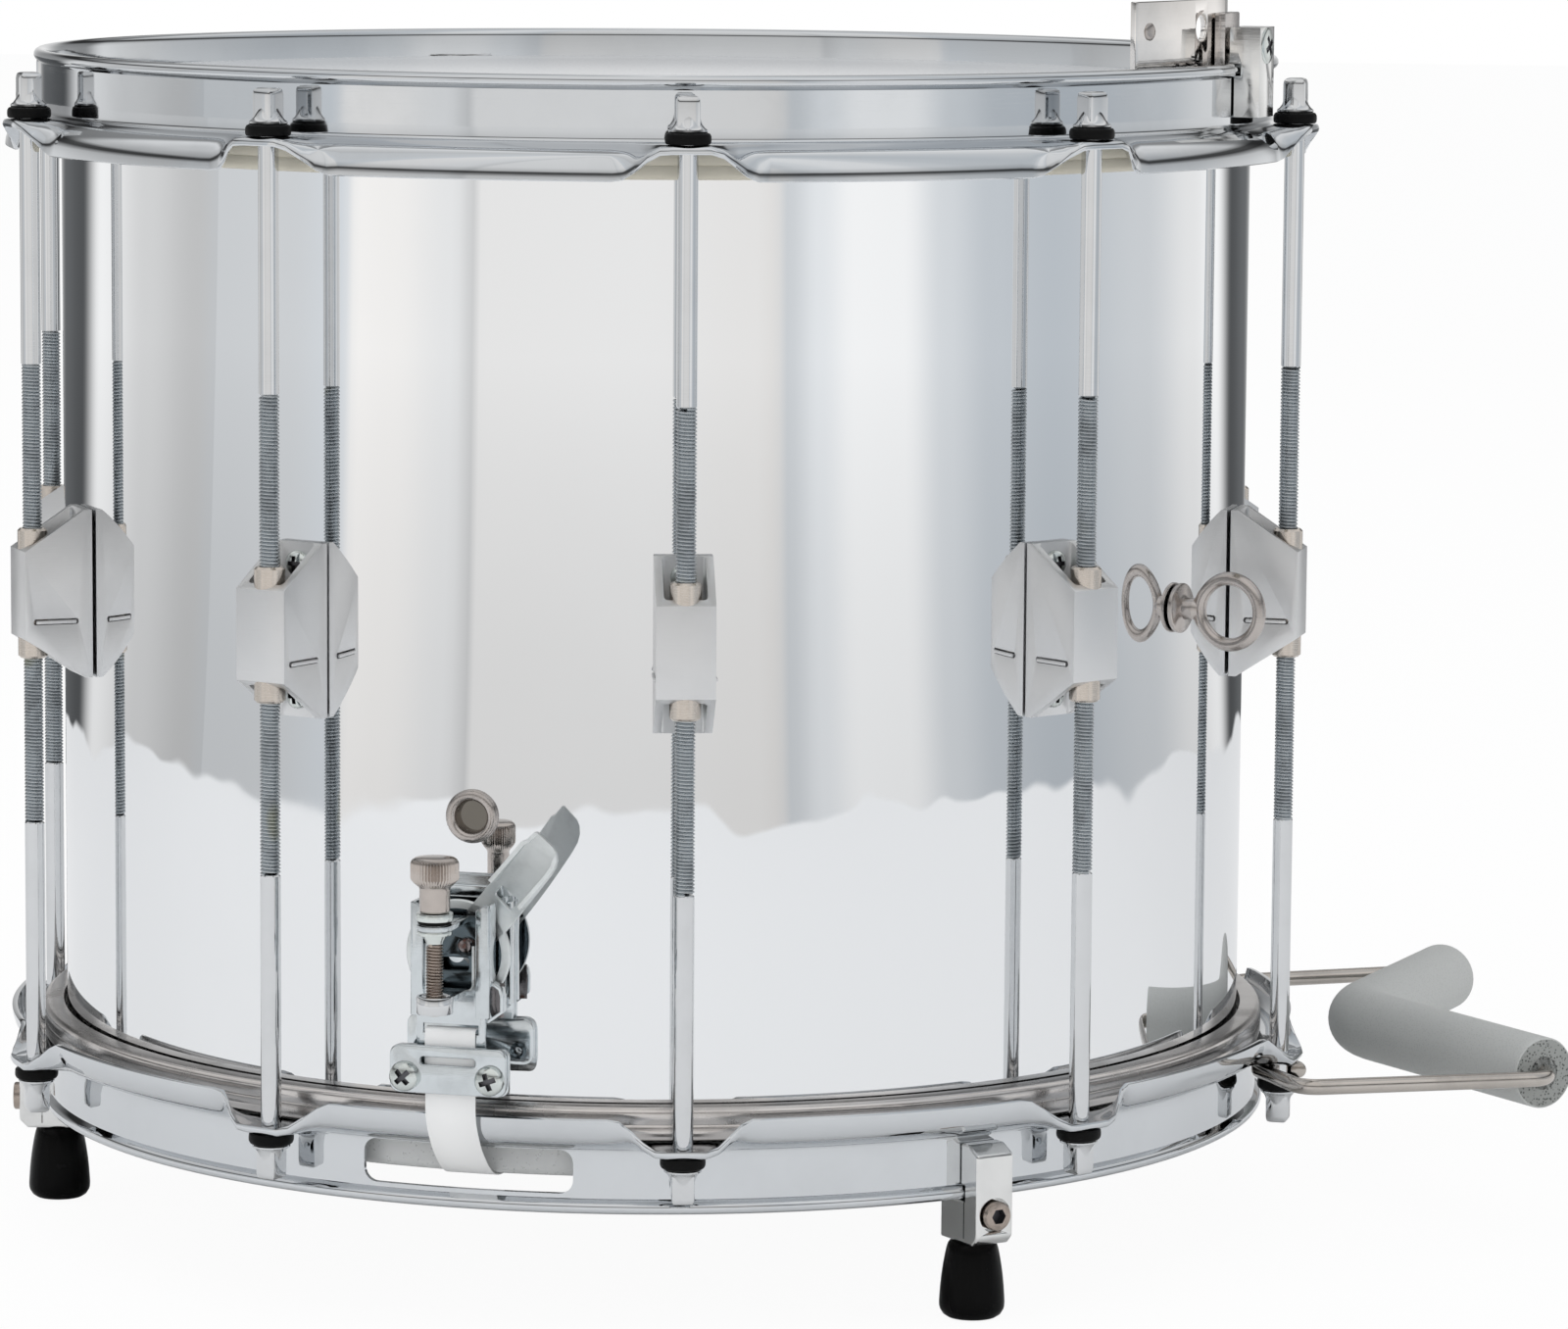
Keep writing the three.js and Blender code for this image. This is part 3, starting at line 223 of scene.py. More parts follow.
# Shell: a tube of thin rolled steel, welded, polished and chromed to a mirror, its two edges
# turned in for the heads to bear on. A small window behind the vent eyelet lets the air out.
shell_outer, shell_wall = 177.0 * mm, 1.5 * mm
strainer_angle = -16.46
vent_height = -196.7 * mm


def spun(outline, closed=True, steps=192, unit=1.0):
    """A full turn about the upright axis of an outline of (radius, height) points, stated in the unit."""
    bm = bmesh.new()
    verts = [bm.verts.new((radius * unit, 0, height * unit)) for radius, height in outline]
    pairs = list(zip(verts, verts[1:])) + ([(verts[-1], verts[0])] if closed else [])
    edges = [bm.edges.new(pair) for pair in pairs]
    bmesh.ops.spin(
        bm, geom=verts + edges, cent=(0, 0, 0), axis=(0, 0, 1), angle=2 * math.pi, steps=steps,
        use_merge=True,
    )
    bmesh.ops.remove_doubles(bm, verts=bm.verts, dist=1e-6)
    return bm


def shifted(bm, x=0.0, y=0.0, z=0.0):
    """Moves a mesh and hands it back."""
    bmesh.ops.translate(bm, vec=(x, y, z), verts=bm.verts)
    return bm


def laid(bm, x=0.0, y=0.0, z=0.0):
    """Turns an upright mesh to point out of the drum along x, moves it and hands it back."""
    bmesh.ops.rotate(bm, matrix=Matrix.Rotation(math.radians(90), 3, "Y"), verts=bm.verts)
    return shifted(bm, x, y, z)


def station(angle):
    """The place at that bearing: x points out of the drum, y to the right, z up."""
    return Matrix.Rotation(math.radians(angle - 90), 4, "Z")


at_strainer, at_butt = station(strainer_angle), station(strainer_angle + 180)


def settle(bm, name, *finishes, body="root", stands_for=(), slot=None, place=None, sharp=35):
    """Closes a mesh into a finished piece with its finishes, on its body unless no body is given."""
    if place is not None:
        bmesh.ops.transform(bm, matrix=place, verts=bm.verts)
    bmesh.ops.recalc_face_normals(bm, faces=bm.faces)
    data = bpy.data.meshes.new(name)
    bm.to_mesh(data)
    bm.free()
    data.shade_smooth()
    data.set_sharp_from_angle(angle=math.radians(sharp))
    for finish in finishes:
        data.materials.append(finish)
    piece = bpy.data.objects.new(name, data)
    scene.collection.objects.link(piece)
    if body:
        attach(piece, body)
    if stands_for:
        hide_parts(*stands_for)
    return piece


def marks_group():
    """Handling marks on plated metal: cloudy smudges, faint wiping lines and a slow unevenness."""
    group = bpy.data.node_groups.new("handling_marks", "ShaderNodeTree")
    for name in ("Cloud Scale", "Line Scale"):
        group.interface.new_socket(name, in_out="INPUT", socket_type="NodeSocketFloat")
    for name in ("Smudge", "Lines", "Unevenness"):
        group.interface.new_socket(name, in_out="OUTPUT", socket_type="NodeSocketFloat")
    given = group.nodes.new("NodeGroupInput").outputs
    place = add(group, "TexCoord", "Object")
    cloud = add(group, "TexNoise", "Fac", {
        "Vector": place, "Scale": given["Cloud Scale"], "Detail": 5, "Roughness": 0.62,
    })
    along = add(group, "Mapping", "Vector", {
        "Vector": place, "Scale": (1, 1, 14), "Rotation": (0.12, 0.2, 0),
    })
    feed(group, group.nodes.new("NodeGroupOutput"), {
        "Smudge": ranged(group, cloud, 0.42, 0.72, step="SMOOTHSTEP"),
        "Lines": add(group, "TexNoise", "Fac", {"Vector": along, "Scale": given["Line Scale"], "Detail": 3}),
        "Unevenness": add(group, "TexNoise", "Fac", {"Vector": place, "Scale": 7, "Detail": 0}),
    })
    return group


handling_marks = marks_group()


def new_finish(name):
    """A new material with its tree and its shader."""
    finish = bpy.data.materials.new(name)
    finish.use_nodes = True
    return finish, finish.node_tree, finish.node_tree.nodes["Principled BSDF"]


def plated(name, colour, dull, gloss, cloud_scale=14, line_scale=60, wave=0.0, line_depth=0.0, stain=0.0):
    """Plated or polished metal: roughness between gloss and dull by its smudges, a bump by its lines."""
    finish, tree, metal = new_finish(name)
    marks = tree.nodes.new("ShaderNodeGroup")
    marks.node_tree = handling_marks
    feed(tree, marks, {"Cloud Scale": cloud_scale, "Line Scale": line_scale})
    smudge = marks.outputs["Smudge"]
    stained = (*[c * (1 - stain) for c in colour], 1)
    feed(tree, metal, {
        "Metallic": 1, "Roughness": ranged(tree, smudge, 0, 1, gloss, dull),
        "Base Color": mixed(tree, smudge, (*colour, 1), stained),
    })
    if wave or line_depth:
        height = reckoned(tree, "MULTIPLY", marks.outputs["Unevenness"], wave)
        relief = reckoned(tree, "MULTIPLY_ADD", marks.outputs["Lines"], line_depth, height)
        feed(tree, metal, {"Normal": add(tree, "Bump", "Normal", {"Height": relief, "Distance": mm})})
    return finish


mirror_chrome = plated(
    "mirror_chrome", (0.86, 0.87, 0.88), dull=0.045, gloss=0.012, cloud_scale=9, wave=0.12, stain=0.015,
)


def inside_wall():
    """Dull steel inside the shell, with a faint painted glow standing in for the daylight that comes through
    the heads.
    """
    finish = plated("inside_wall", (0.42, 0.41, 0.39), dull=0.6, gloss=0.4, stain=0.1)
    tree = finish.node_tree
    # The emission is painted light: the inside wall glows faintly though it is no lamp.
    feed(tree, tree.nodes["Principled BSDF"], {
        "Emission Color": (0.105, 0.098, 0.088, 1), "Emission Strength": 1,
    })
    return finish


inner = shell_outer - shell_wall
top, bottom = -0.8 * mm, -296.2 * mm
bm = spun([
    (inner, bottom + 3 * mm), (inner - 0.8 * mm, bottom + 1 * mm), (inner - 0.5 * mm, bottom),
    (inner + 0.5 * mm, bottom + 0.7 * mm), (shell_outer, bottom + 3.2 * mm), (shell_outer, bottom + 3.6 * mm),
    (shell_outer, vent_height - 5.3 * mm), (shell_outer, vent_height + 5.3 * mm),
    (shell_outer, top - 3.6 * mm), (shell_outer, top - 3.2 * mm), (inner + 0.5 * mm, top - 0.7 * mm),
    (inner - 0.5 * mm, top),
    (inner - 0.8 * mm, top - 1 * mm), (inner, top - 3 * mm),
    (inner, vent_height + 5.3 * mm), (inner, vent_height - 5.3 * mm),
], steps=256)
bmesh.ops.transform(bm, matrix=at_strainer, verts=bm.verts)
vent_out = at_strainer @ Vector((1, 0, 0))
window = [
    f for f in bm.faces
    if abs(f.calc_center_median().z - vent_height) < 5 * mm
    and f.calc_center_median().dot(vent_out) > inner * 0.99
    and (f.calc_center_median() - vent_out * f.calc_center_median().dot(vent_out)).xy.length < 4 * mm
]
bmesh.ops.delete(bm, geom=window, context="FACES")
bmesh.ops.bridge_loops(bm, edges=[e for e in bm.edges if e.is_boundary])
for face in bm.faces:
    if face.calc_center_median().xy.length < inner * 1.0002:
        face.material_index = 1
settle(
    bm, "chromed_shell", mirror_chrome, inside_wall(), stands_for=["shell"], slot="chrome_shell", sharp=50,
)

# Heads: coated plastic film stretched over the bearing edges and crimped into the flesh hoops.
# The batter head is struck and stays white and faintly glossy; the snare head is thin and hazy.
film_outer = 177.8 * mm


def film(name, colour, rough, through):
    """Plastic film or paint with a fine tooth. through is the share of light that passes."""
    finish, tree, skin = new_finish(name)
    place = add(tree, "TexCoord", "Object")
    tooth = add(tree, "TexNoise", "Fac", {"Vector": place, "Scale": 900, "Detail": 3})
    feed(tree, skin, {
        "Base Color": (*colour, 1), "IOR": 1.55, "Transmission Weight": through,
        "Roughness": ranged(tree, tooth, 0, 1, rough * 0.7, rough * 1.3),
        "Normal": add(tree, "Bump", "Normal", {"Height": tooth, "Distance": 0.02 * mm, "Strength": 0.35}),
    })
    return finish


coated_film = film("coated_film", (0.74, 0.75, 0.76), rough=0.16, through=0.0)
hazy_film = film("hazy_film", (0.80, 0.81, 0.80), rough=0.3, through=0.25)


def head_skin(name, finish, flat, hem, node):
    """The film from its middle over the edge and down to its hem. flat is the playing surface's height."""
    side = 1 if hem < flat else -1
    crown = [
        (film_outer - 2.2 * mm + 2.2 * mm * math.sin(a), flat - side * 2.2 * mm * (1 - math.cos(a)))
        for a in [math.radians(15 * step) for step in range(7)]
    ]
    thin = 0.45 * mm
    under = [(radius - thin, height - side * 0.01 * mm) for radius, height in reversed(crown[2:])]
    bm = spun([
        (0, flat), (60 * mm, flat), (120 * mm, flat), (160 * mm, flat), *crown,
        (film_outer, hem), (film_outer - thin, hem), *under,
        (160 * mm, flat - side * thin), (60 * mm, flat - side * thin), (0, flat - side * thin),
    ], closed=False)
    settle(bm, name, finish, stands_for=[node], slot="head_film")


head_skin("batter_skin", coated_film, 0, -15.6 * mm, "batter_head")
head_skin("snare_skin", hazy_film, -297 * mm, -281.2 * mm, "snare_head")

# Flesh hoops: rings that the film is set in and that the counterhoops press down. The batter one is
# painted cream, the snare one is bare aluminium gone warm and grey, wiped round by hand.
cream_paint = film("cream_paint", (0.70, 0.66, 0.55), rough=0.45, through=0.0)
warm_aluminium = plated(
    "warm_aluminium", (0.66, 0.63, 0.61), dull=0.36, gloss=0.18, cloud_scale=40, line_scale=25,
    line_depth=0.16, stain=0.12,
)


def flesh_ring(name, finish, near, far, node, slot):
    """near is the face toward the counterhoop's flange, far the other one."""
    side = 1 if near > far else -1
    inside, outside = 178.1 * mm, 184.3 * mm
    round_radius = 1.7 * mm
    shoulder = [
        (outside - round_radius + round_radius * math.cos(a), near - side * round_radius * (1 - math.sin(a)))
        for a in [math.radians(18 * step) for step in range(6)]
    ]
    heel = [
        (outside - round_radius + round_radius * math.sin(a), far + side * round_radius * (1 - math.cos(a)))
        for a in [math.radians(18 * step) for step in range(6)]
    ]
    groove = (near + far) / 2
    bm = spun([
        (inside, far), *heel, (outside, groove - side * 0.5 * mm), (outside - 0.35 * mm, groove),
        (outside, groove + side * 0.5 * mm), *shoulder, (inside, near),
    ])
    settle(bm, name, finish, stands_for=[node], slot=slot)


flesh_ring("cream_flesh_ring", cream_paint, -11.9 * mm, -19.9 * mm, "batter_flesh_hoop", "cream_hoop")
flesh_ring("bare_flesh_ring", warm_aluminium, -285.5 * mm, -276.0 * mm, "snare_flesh_hoop", "satin_hoop")

# Counterhoops: pressed steel rings, chromed, with a rolled bead on the free edge. The flange runs out
# flat under each key screw and turns down in a rounded skirt between them. The snare hoop has two
# windows in its wall for the straps.
hoop_chrome = plated(
    "hoop_chrome", (0.66, 0.68, 0.70), dull=0.09, gloss=0.025, cloud_scale=26, line_scale=90,
    line_depth=0.004, wave=0.05, stain=0.05,
)
lug_angles = [2.5 + 36 * step for step in range(10)]
hoop_inner, hoop_outer, hoop_sheet = 181.2 * mm, 183.0 * mm, 1.8 * mm


def lobe_share(angle):
    """1 where the flange is flat under a key screw, 0 where it is the rounded skirt."""
    flat_half, fall = 1.8, 4
    from_screw = abs((angle - lug_angles[0] + 18) % 36 - 18)
    share = 1 - min(max((from_screw - flat_half) / fall, 0), 1)
    return share * share * (3 - 2 * share)


def hoop_outline(lobe):
    """The ring's section at a bearing, from the flange's flat side round its rim and up over the bead."""
    rim = []
    for step in range(1, 10):
        a = math.radians(10 * step)
        skirt = (hoop_outer + 10.5 * mm * math.sin(a), -9.8 * mm * (1 - math.cos(a)))
        flat = (hoop_outer + 16 * mm * math.sin(a) ** 1.6, -0.8 * mm * (step / 9) ** 8)
        rim.append(tuple(lobe * f + (1 - lobe) * s for f, s in zip(flat, skirt)))
    under = []
    for before, here, after in zip([(hoop_outer, 0)] + rim[:-1], rim, rim[1:] + [rim[-1]]):
        along = Vector(after) - Vector(before)
        inward = Vector((along.y, -along.x)).normalized() * hoop_sheet
        under.append((here[0] + inward.x, here[1] + inward.y))
    under[-1] = (
        rim[-1][0] - hoop_sheet * 0.9 * (1 - lobe),
        rim[-1][1] - 0.25 * mm * (1 - lobe) - hoop_sheet * 0.9 * lobe,
    )
    lip = ((rim[-1][0] + under[-1][0]) / 2, (rim[-1][1] + under[-1][1]) / 2)
    out = 0.25 * mm
    lip = (lip[0] + out * lobe, lip[1] - out * (1 - lobe))
    fillet = [(hoop_outer + 0.55 * mm, 0.05 * mm), (hoop_outer + 0.12 * mm, 0.5 * mm), (hoop_outer, 1.2 * mm)]
    bead = [
        (183.18 * mm + 1.8 * mm * math.cos(a), 16.6 * mm + 1.8 * mm * math.sin(a))
        for a in [math.radians(angle) for angle in (-62, -35, -8, 20, 48, 76, 104, 132, 160)]
    ]
    return [
        (hoop_inner, -hoop_sheet), *under, lip, *reversed(rim), *fillet,
        (hoop_outer, 4 * mm), (hoop_outer, 14.2 * mm), *bead, (hoop_inner, 16 * mm), (hoop_inner, 3 * mm),
    ]


def carve(bm, *cutters):
    """Cuts the cutters out of the mesh and hands back a fresh one."""
    def as_object(mesh):
        data = bpy.data.meshes.new("blank")
        mesh.to_mesh(data)
        mesh.free()
        thing = bpy.data.objects.new("blank", data)
        scene.collection.objects.link(thing)
        return thing

    blank = as_object(bm)
    tools = [as_object(cutter) for cutter in cutters]
    for tool in tools:
        modifier = blank.modifiers.new("carve", "BOOLEAN")
        modifier.operation = "DIFFERENCE"
        modifier.solver = "EXACT"
        modifier.object = tool
    bpy.context.view_layer.update()
    done = bmesh.new()
    done.from_mesh(blank.evaluated_get(bpy.context.evaluated_depsgraph_get()).to_mesh())
    for thing in [blank, *tools]:
        data = thing.data
        bpy.data.objects.remove(thing)
        bpy.data.meshes.remove(data)
    return done


def rounded_block(low, high, radius=0.0, along=None, segments=3):
    """A block between two corners. radius rounds its edges: all of them, or those along one axis."""
    bm = bmesh.new()
    bmesh.ops.create_cube(bm, size=1)
    size = [b - a for a, b in zip(low, high)]
    middle = [(a + b) / 2 for a, b in zip(low, high)]
    bmesh.ops.scale(bm, vec=size, verts=bm.verts)
    bmesh.ops.translate(bm, vec=middle, verts=bm.verts)
    if radius:
        chosen = [
            e for e in bm.edges
            if along is None or abs((e.verts[0].co - e.verts[1].co).normalized()["xyz".index(along)]) > 0.9
        ]
        bmesh.ops.bevel(
            bm, geom=chosen, offset=radius, segments=segments, profile=0.5, affect="EDGES", material=-1,
        )
    return bm


def sheet_block(x0, x1, y0, y1, z0, z1, corner=0.0, along="x", segments=4):
    """A block stated in millimetres in its station, with its corners rounded along one axis."""
    return rounded_block(
        (x0 * mm, y0 * mm, z0 * mm), (x1 * mm, y1 * mm, z1 * mm), corner * mm,
        along=along if corner else None, segments=segments,
    )


def counterhoop(name, seat, side, windows, node):
    """seat is the height of the flange's flat face, side 1 for the batter hoop and -1 for the snare hoop."""
    bm = bmesh.new()
    rank = bm.verts.layers.int.new("rank")
    outline = hoop_outline(0)
    verts = [bm.verts.new((radius, 0, height)) for radius, height in outline]
    for place, vert in enumerate(verts):
        vert[rank] = place
    edges = [bm.edges.new((a, b)) for a, b in zip(verts, verts[1:] + verts[:1])]
    bmesh.ops.spin(
        bm, geom=verts + edges, cent=(0, 0, 0), axis=(0, 0, 1), angle=2 * math.pi, steps=360, use_merge=True,
    )
    bmesh.ops.rotate(bm, matrix=Matrix.Rotation(math.radians(0.25), 3, "Z"), verts=bm.verts)
    for vert in bm.verts:
        angle = math.degrees(math.atan2(vert.co.x, -vert.co.y))
        radius, height = hoop_outline(lobe_share(angle))[vert[rank]]
        reach = vert.co.xy.length
        vert.co = Vector((vert.co.x * radius / reach, vert.co.y * radius / reach, seat + side * height))
    for angle in windows:
        gate = sheet_block(175, 192, -30.5, 30.5, -300.6, -288.2, 3.8, segments=6)
        bmesh.ops.transform(gate, matrix=station(angle), verts=gate.verts)
        bmesh.ops.recalc_face_normals(bm, faces=bm.faces)
        bm = carve(bm, gate)
    settle(bm, name, hoop_chrome, stands_for=[node], slot="chrome_hoop", sharp=42)


counterhoop("batter_counterhoop", -9.8 * mm, 1, [], "top_hoop")
counterhoop("snare_counterhoop", -287.6 * mm, -1, [strainer_angle, strainer_angle + 180], "bottom_hoop")

# Lugs: ten blocks of satin aluminium, each bent to a channel with slanted ends. A crimp on each side
# grips a nickel-plated threaded tube, and two screws through the back hold the block to the shell.
satin_aluminium = plated(
    "satin_aluminium", (0.74, 0.745, 0.75), dull=0.46, gloss=0.38, cloud_scale=30, line_scale=160,
    line_depth=0.03, stain=0.04,
)
champagne_nickel = plated(
    "champagne_nickel", (0.66, 0.60, 0.54), dull=0.34, gloss=0.2, cloud_scale=60, line_scale=300,
    line_depth=0.03, stain=0.1,
)
# Near-black metal for the screws' recesses and sockets: painted shade in the hollows.
painted_recess_shade = plated("painted_recess_shade", (0.16, 0.16, 0.17), dull=0.6, gloss=0.45, cloud_scale=80, stain=0.3)
screw_plate = plated(
    "screw_plate", (0.70, 0.74, 0.72), dull=0.26, gloss=0.12, cloud_scale=120, line_scale=400,
    line_depth=0.02, stain=0.2,
)
lug_back, lug_face, lug_height = 177.4 * mm, 197.4 * mm, -147.4 * mm
rod_circle = 193.0 * mm


def prism(points, low, high, across="y"):
    """A flat outline given its thickness: (x, z) points across y, (y, z) across x, or (x, y) across z."""
    bm = bmesh.new()
    if across == "y":
        verts = [bm.verts.new((a, low, b)) for a, b in points]
        thick = (0, high - low, 0)
    elif across == "z":
        verts = [bm.verts.new((a, b, low)) for a, b in points]
        thick = (0, 0, high - low)
    else:
        verts = [bm.verts.new((low, a, b)) for a, b in points]
        thick = (high - low, 0, 0)
    face = bm.faces.new(verts)
    grown = bmesh.ops.extrude_face_region(bm, geom=[face], use_keep_orig=True)
    bmesh.ops.translate(bm, vec=thick, verts=[g for g in grown["geom"] if isinstance(g, bmesh.types.BMVert)])
    bmesh.ops.recalc_face_normals(bm, faces=bm.faces)
    return bm


def soften(bm, radius, segments=2, angle=40):
    """Rounds every edge sharper than the angle."""
    bmesh.ops.dissolve_limit(bm, angle_limit=math.radians(1), verts=bm.verts, edges=bm.edges)
    sharp = [e for e in bm.edges if len(e.link_faces) == 2 and e.calc_face_angle(0) > math.radians(angle)]
    bmesh.ops.bevel(
        bm, geom=sharp, offset=radius, offset_type="OFFSET", segments=segments, profile=0.5, affect="EDGES",
        clamp_overlap=True, material=-1,
    )


def merge(bm, *others):
    """Adds meshes to the first one as further closed bodies."""
    for other in others:
        data = bpy.data.meshes.new("part")
        other.to_mesh(data)
        other.free()
        bm.from_mesh(data)
        bpy.data.meshes.remove(data)
    return bm


def cross_screw(head, rise, shank=2 * mm):
    """A pan head with a cross recess, its axis along x, seated at x = 0. Face material 1 is the recess, for
    painted shade.
    """
    half = head / 2
    dome = [
        (half * math.cos(a), rise * (0.25 + 0.75 * math.sin(a)))
        for a in [math.radians(15 * step) for step in range(7)]
    ]
    neck = half * 0.45
    bm = spun([(0, -shank), (neck, -shank), (neck, 0), (half, 0), *dome], closed=False, steps=24)
    bmesh.ops.recalc_face_normals(bm, faces=bm.faces)
    arm, wide = half * 0.58, half * 0.17
    bars = [
        rounded_block((-arm, -wide, rise * 0.35), (arm, wide, rise * 2)),
        rounded_block((-wide, -arm, rise * 0.35), (wide, arm, rise * 2)),
    ]
    for bar in bars:
        for face in bar.faces:
            face.material_index = 1
    return laid(carve(bm, *bars))


def lug_block():
    """One lug about its middle, in its station."""
    bm = prism([
        (lug_back, -24.5 * mm), (lug_back + 2.2 * mm, -24.5 * mm), (lug_face, -12.8 * mm),
        (lug_face, 12.8 * mm), (lug_back + 2.2 * mm, 24.5 * mm), (lug_back, 24.5 * mm),
    ], -8.2 * mm, 8.2 * mm)
    channel = rounded_block(
        (lug_back + 2.2 * mm, -6.0 * mm, -30 * mm), (lug_face - 2.2 * mm, 6.0 * mm, 30 * mm), 1.2 * mm,
        along="z",
    )
    slots = rounded_block(
        (lug_back + 4.2 * mm, -9 * mm, -8.6 * mm), (lug_back + 17.6 * mm, 9 * mm, -6.9 * mm), 0.7 * mm,
        along="y",
    )
    bm = carve(bm, channel, slots)
    soften(bm, 0.45 * mm, angle=28)
    tongues = [
        rounded_block(
            (lug_back + 4.9 * mm, side * 7.9 * mm - 0.9 * mm, -8.35 * mm),
            (lug_back + 16.9 * mm, side * 7.9 * mm + 0.9 * mm, -7.35 * mm), 0.3 * mm,
        )
        for side in (-1, 1)
    ]
    return merge(bm, *tongues)


lug_shape = lug_block()
insert_shape = spun([
    (2.95, -18.95), (3.7, -18.95), (4.35, -18.3), (4.35, 18.3), (3.7, 18.95), (2.95, 18.95),
], steps=28, unit=mm)
lug_screw_shape = cross_screw(7.4 * mm, 2.6 * mm, shank=2.4 * mm)
for number, angle in enumerate(lug_angles, 1):
    node = f"lug_{number:02d}"
    seat = station(angle) @ Matrix.Translation((0, 0, lug_height))
    settle(
        lug_shape.copy(), f"lug_block_{number:02d}", satin_aluminium, stands_for=[node], slot="satin_lug",
        place=seat,
    )
    settle(
        insert_shape.copy(), f"lug_insert_{number:02d}", champagne_nickel, stands_for=[node],
        place=seat @ Matrix.Translation((rod_circle, 0, 0)),
    )
    for end, rise in (("top", 18.6 * mm), ("bottom", -18.6 * mm)):
        settle(
            lug_screw_shape.copy(), f"lug_screw_{end}_{number:02d}", screw_plate, painted_recess_shade,
            place=seat @ Matrix.Translation((lug_back + 2.2 * mm, 0, rise)),
        )
for shape in (lug_shape, insert_shape, lug_screw_shape):
    shape.free()

# Key screws: ten for each hoop, chromed steel with a flared collar and a square head for a drum key.
# The lower half of each has a rolled thread that the plating leaves grey, and a rubber washer sits
# between collar and hoop.
key_chrome = plated(
    "key_chrome", (0.68, 0.69, 0.70), dull=0.07, gloss=0.025, cloud_scale=70, line_scale=120,
    line_depth=0.005, stain=0.04,
)


def rolled_thread():
    """Grey zinc-like plating on the thread, with olive oil stain in places."""
    finish = plated(
        "rolled_thread", (0.50, 0.53, 0.55), dull=0.42, gloss=0.24, cloud_scale=120, line_scale=90, stain=0.2,
    )
    tree = finish.node_tree
    metal = tree.nodes["Principled BSDF"]
    place = add(tree, "TexCoord", "Object")
    patches = add(tree, "TexNoise", "Fac", {"Vector": place, "Scale": 45})
    few = ranged(tree, patches, 0.64, 0.78, 0, 0.55, step="SMOOTHSTEP")
    plating = metal.inputs["Base Color"].links[0].from_socket
    feed(tree, metal, {"Base Color": mixed(tree, few, plating, (0.34, 0.33, 0.2, 1))})
    return finish


grey_thread = rolled_thread()


def rubber(name, colour, shine):
    """Moulded rubber with a bloom on it. shine is its lowest roughness."""
    finish, tree, body = new_finish(name)
    place = add(tree, "TexCoord", "Object")
    bloom = add(tree, "TexNoise", "Fac", {"Vector": place, "Scale": 220, "Detail": 4})
    feed(tree, body, {
        "Base Color": (*colour, 1), "IOR": 1.5, "Specular IOR Level": 0.07,
        "Roughness": ranged(tree, bloom, 0, 1, shine, shine + 0.25),
        "Normal": add(tree, "Bump", "Normal", {"Height": bloom, "Distance": 0.08 * mm, "Strength": 0.5}),
    })
    return finish


washer_rubber = rubber("washer_rubber", (0.006, 0.006, 0.006), shine=0.28)


def thread(bm, top, turns, root, crest, pitch, sides=12, material=0):
    """A helical thread that runs down from the height top, closed at both ends."""
    before = set(bm.faces)
    flank = root + (crest - root) * 0.9
    profile = [(root, 0), (flank, 0.32), (crest, 0.5), (flank, 0.68), (root, 1)]
    verts = [bm.verts.new((radius, 0, top - pitch * share)) for radius, share in profile]
    edges = [bm.edges.new(pair) for pair in zip(verts, verts[1:])]
    bmesh.ops.spin(
        bm, geom=verts + edges, cent=(0, 0, 0), axis=(0, 0, 1), dvec=(0, 0, -pitch / sides),
        angle=2 * math.pi * turns, steps=sides * turns,
    )
    new = [v for v in bm.verts if not v.link_faces or any(f not in before for f in v.link_faces)]
    bmesh.ops.remove_doubles(bm, verts=new, dist=pitch * 0.02)
    bmesh.ops.holes_fill(bm, edges=[e for e in bm.edges if e.is_boundary], sides=0)
    for face in bm.faces:
        if face not in before:
            face.material_index = material


def key_screw(under_collar, thread_top, thread_end):
    """A screw that points down, seated with its collar's underside at the height given."""
    z = under_collar
    bm = spun([
        (0, thread_top - 0.4 * mm), (2.5 * mm, thread_top - 0.4 * mm), (2.88 * mm, thread_top),
        (2.88 * mm, z), (5.2 * mm, z), (5.4 * mm, z + 0.3 * mm), (5.3 * mm, z + 0.75 * mm),
        (4.6 * mm, z + 1.25 * mm), (3.9 * mm, z + 2.2 * mm), (3.35 * mm, z + 3.8 * mm),
        (3.0 * mm, z + 5.2 * mm), (0, z + 5.2 * mm),
    ], closed=False, steps=24)
    head = rounded_block((-3.2 * mm, -3.2 * mm, z + 0.6 * mm), (3.2 * mm, 3.2 * mm, z + 10 * mm))
    crown = [e for e in head.edges if all(v.co.z > z + 9 * mm for v in e.verts)]
    bmesh.ops.bevel(
        head, geom=crown, offset=1.9 * mm, segments=4, profile=0.55, affect="EDGES", material=-1,
    )
    corners = [
        e for e in head.edges
        if abs((e.verts[0].co - e.verts[1].co).normalized().z) > 0.9 and e.calc_face_angle(0) > 1
    ]
    bmesh.ops.bevel(head, geom=corners, offset=0.7 * mm, segments=2, profile=0.5, affect="EDGES", material=-1)
    merge(bm, head)
    turns = round((thread_top - thread_end) / mm)
    thread(bm, thread_top, turns, root=2.35 * mm, crest=2.88 * mm, pitch=mm, material=1)
    return bm


def washer_ring(seat):
    """A rubber washer with a rounded rim, its lower face at the height given in millimetres."""
    return spun([
        (3.1, seat), (5.9, seat), (6.25, seat + 0.35), (6.35, seat + 1.2), (6.3, seat + 2.2),
        (5.95, seat + 2.85), (5.4, seat + 3.1), (4.2, seat + 3.2), (3.1, seat + 3.2),
    ], steps=28, unit=mm)


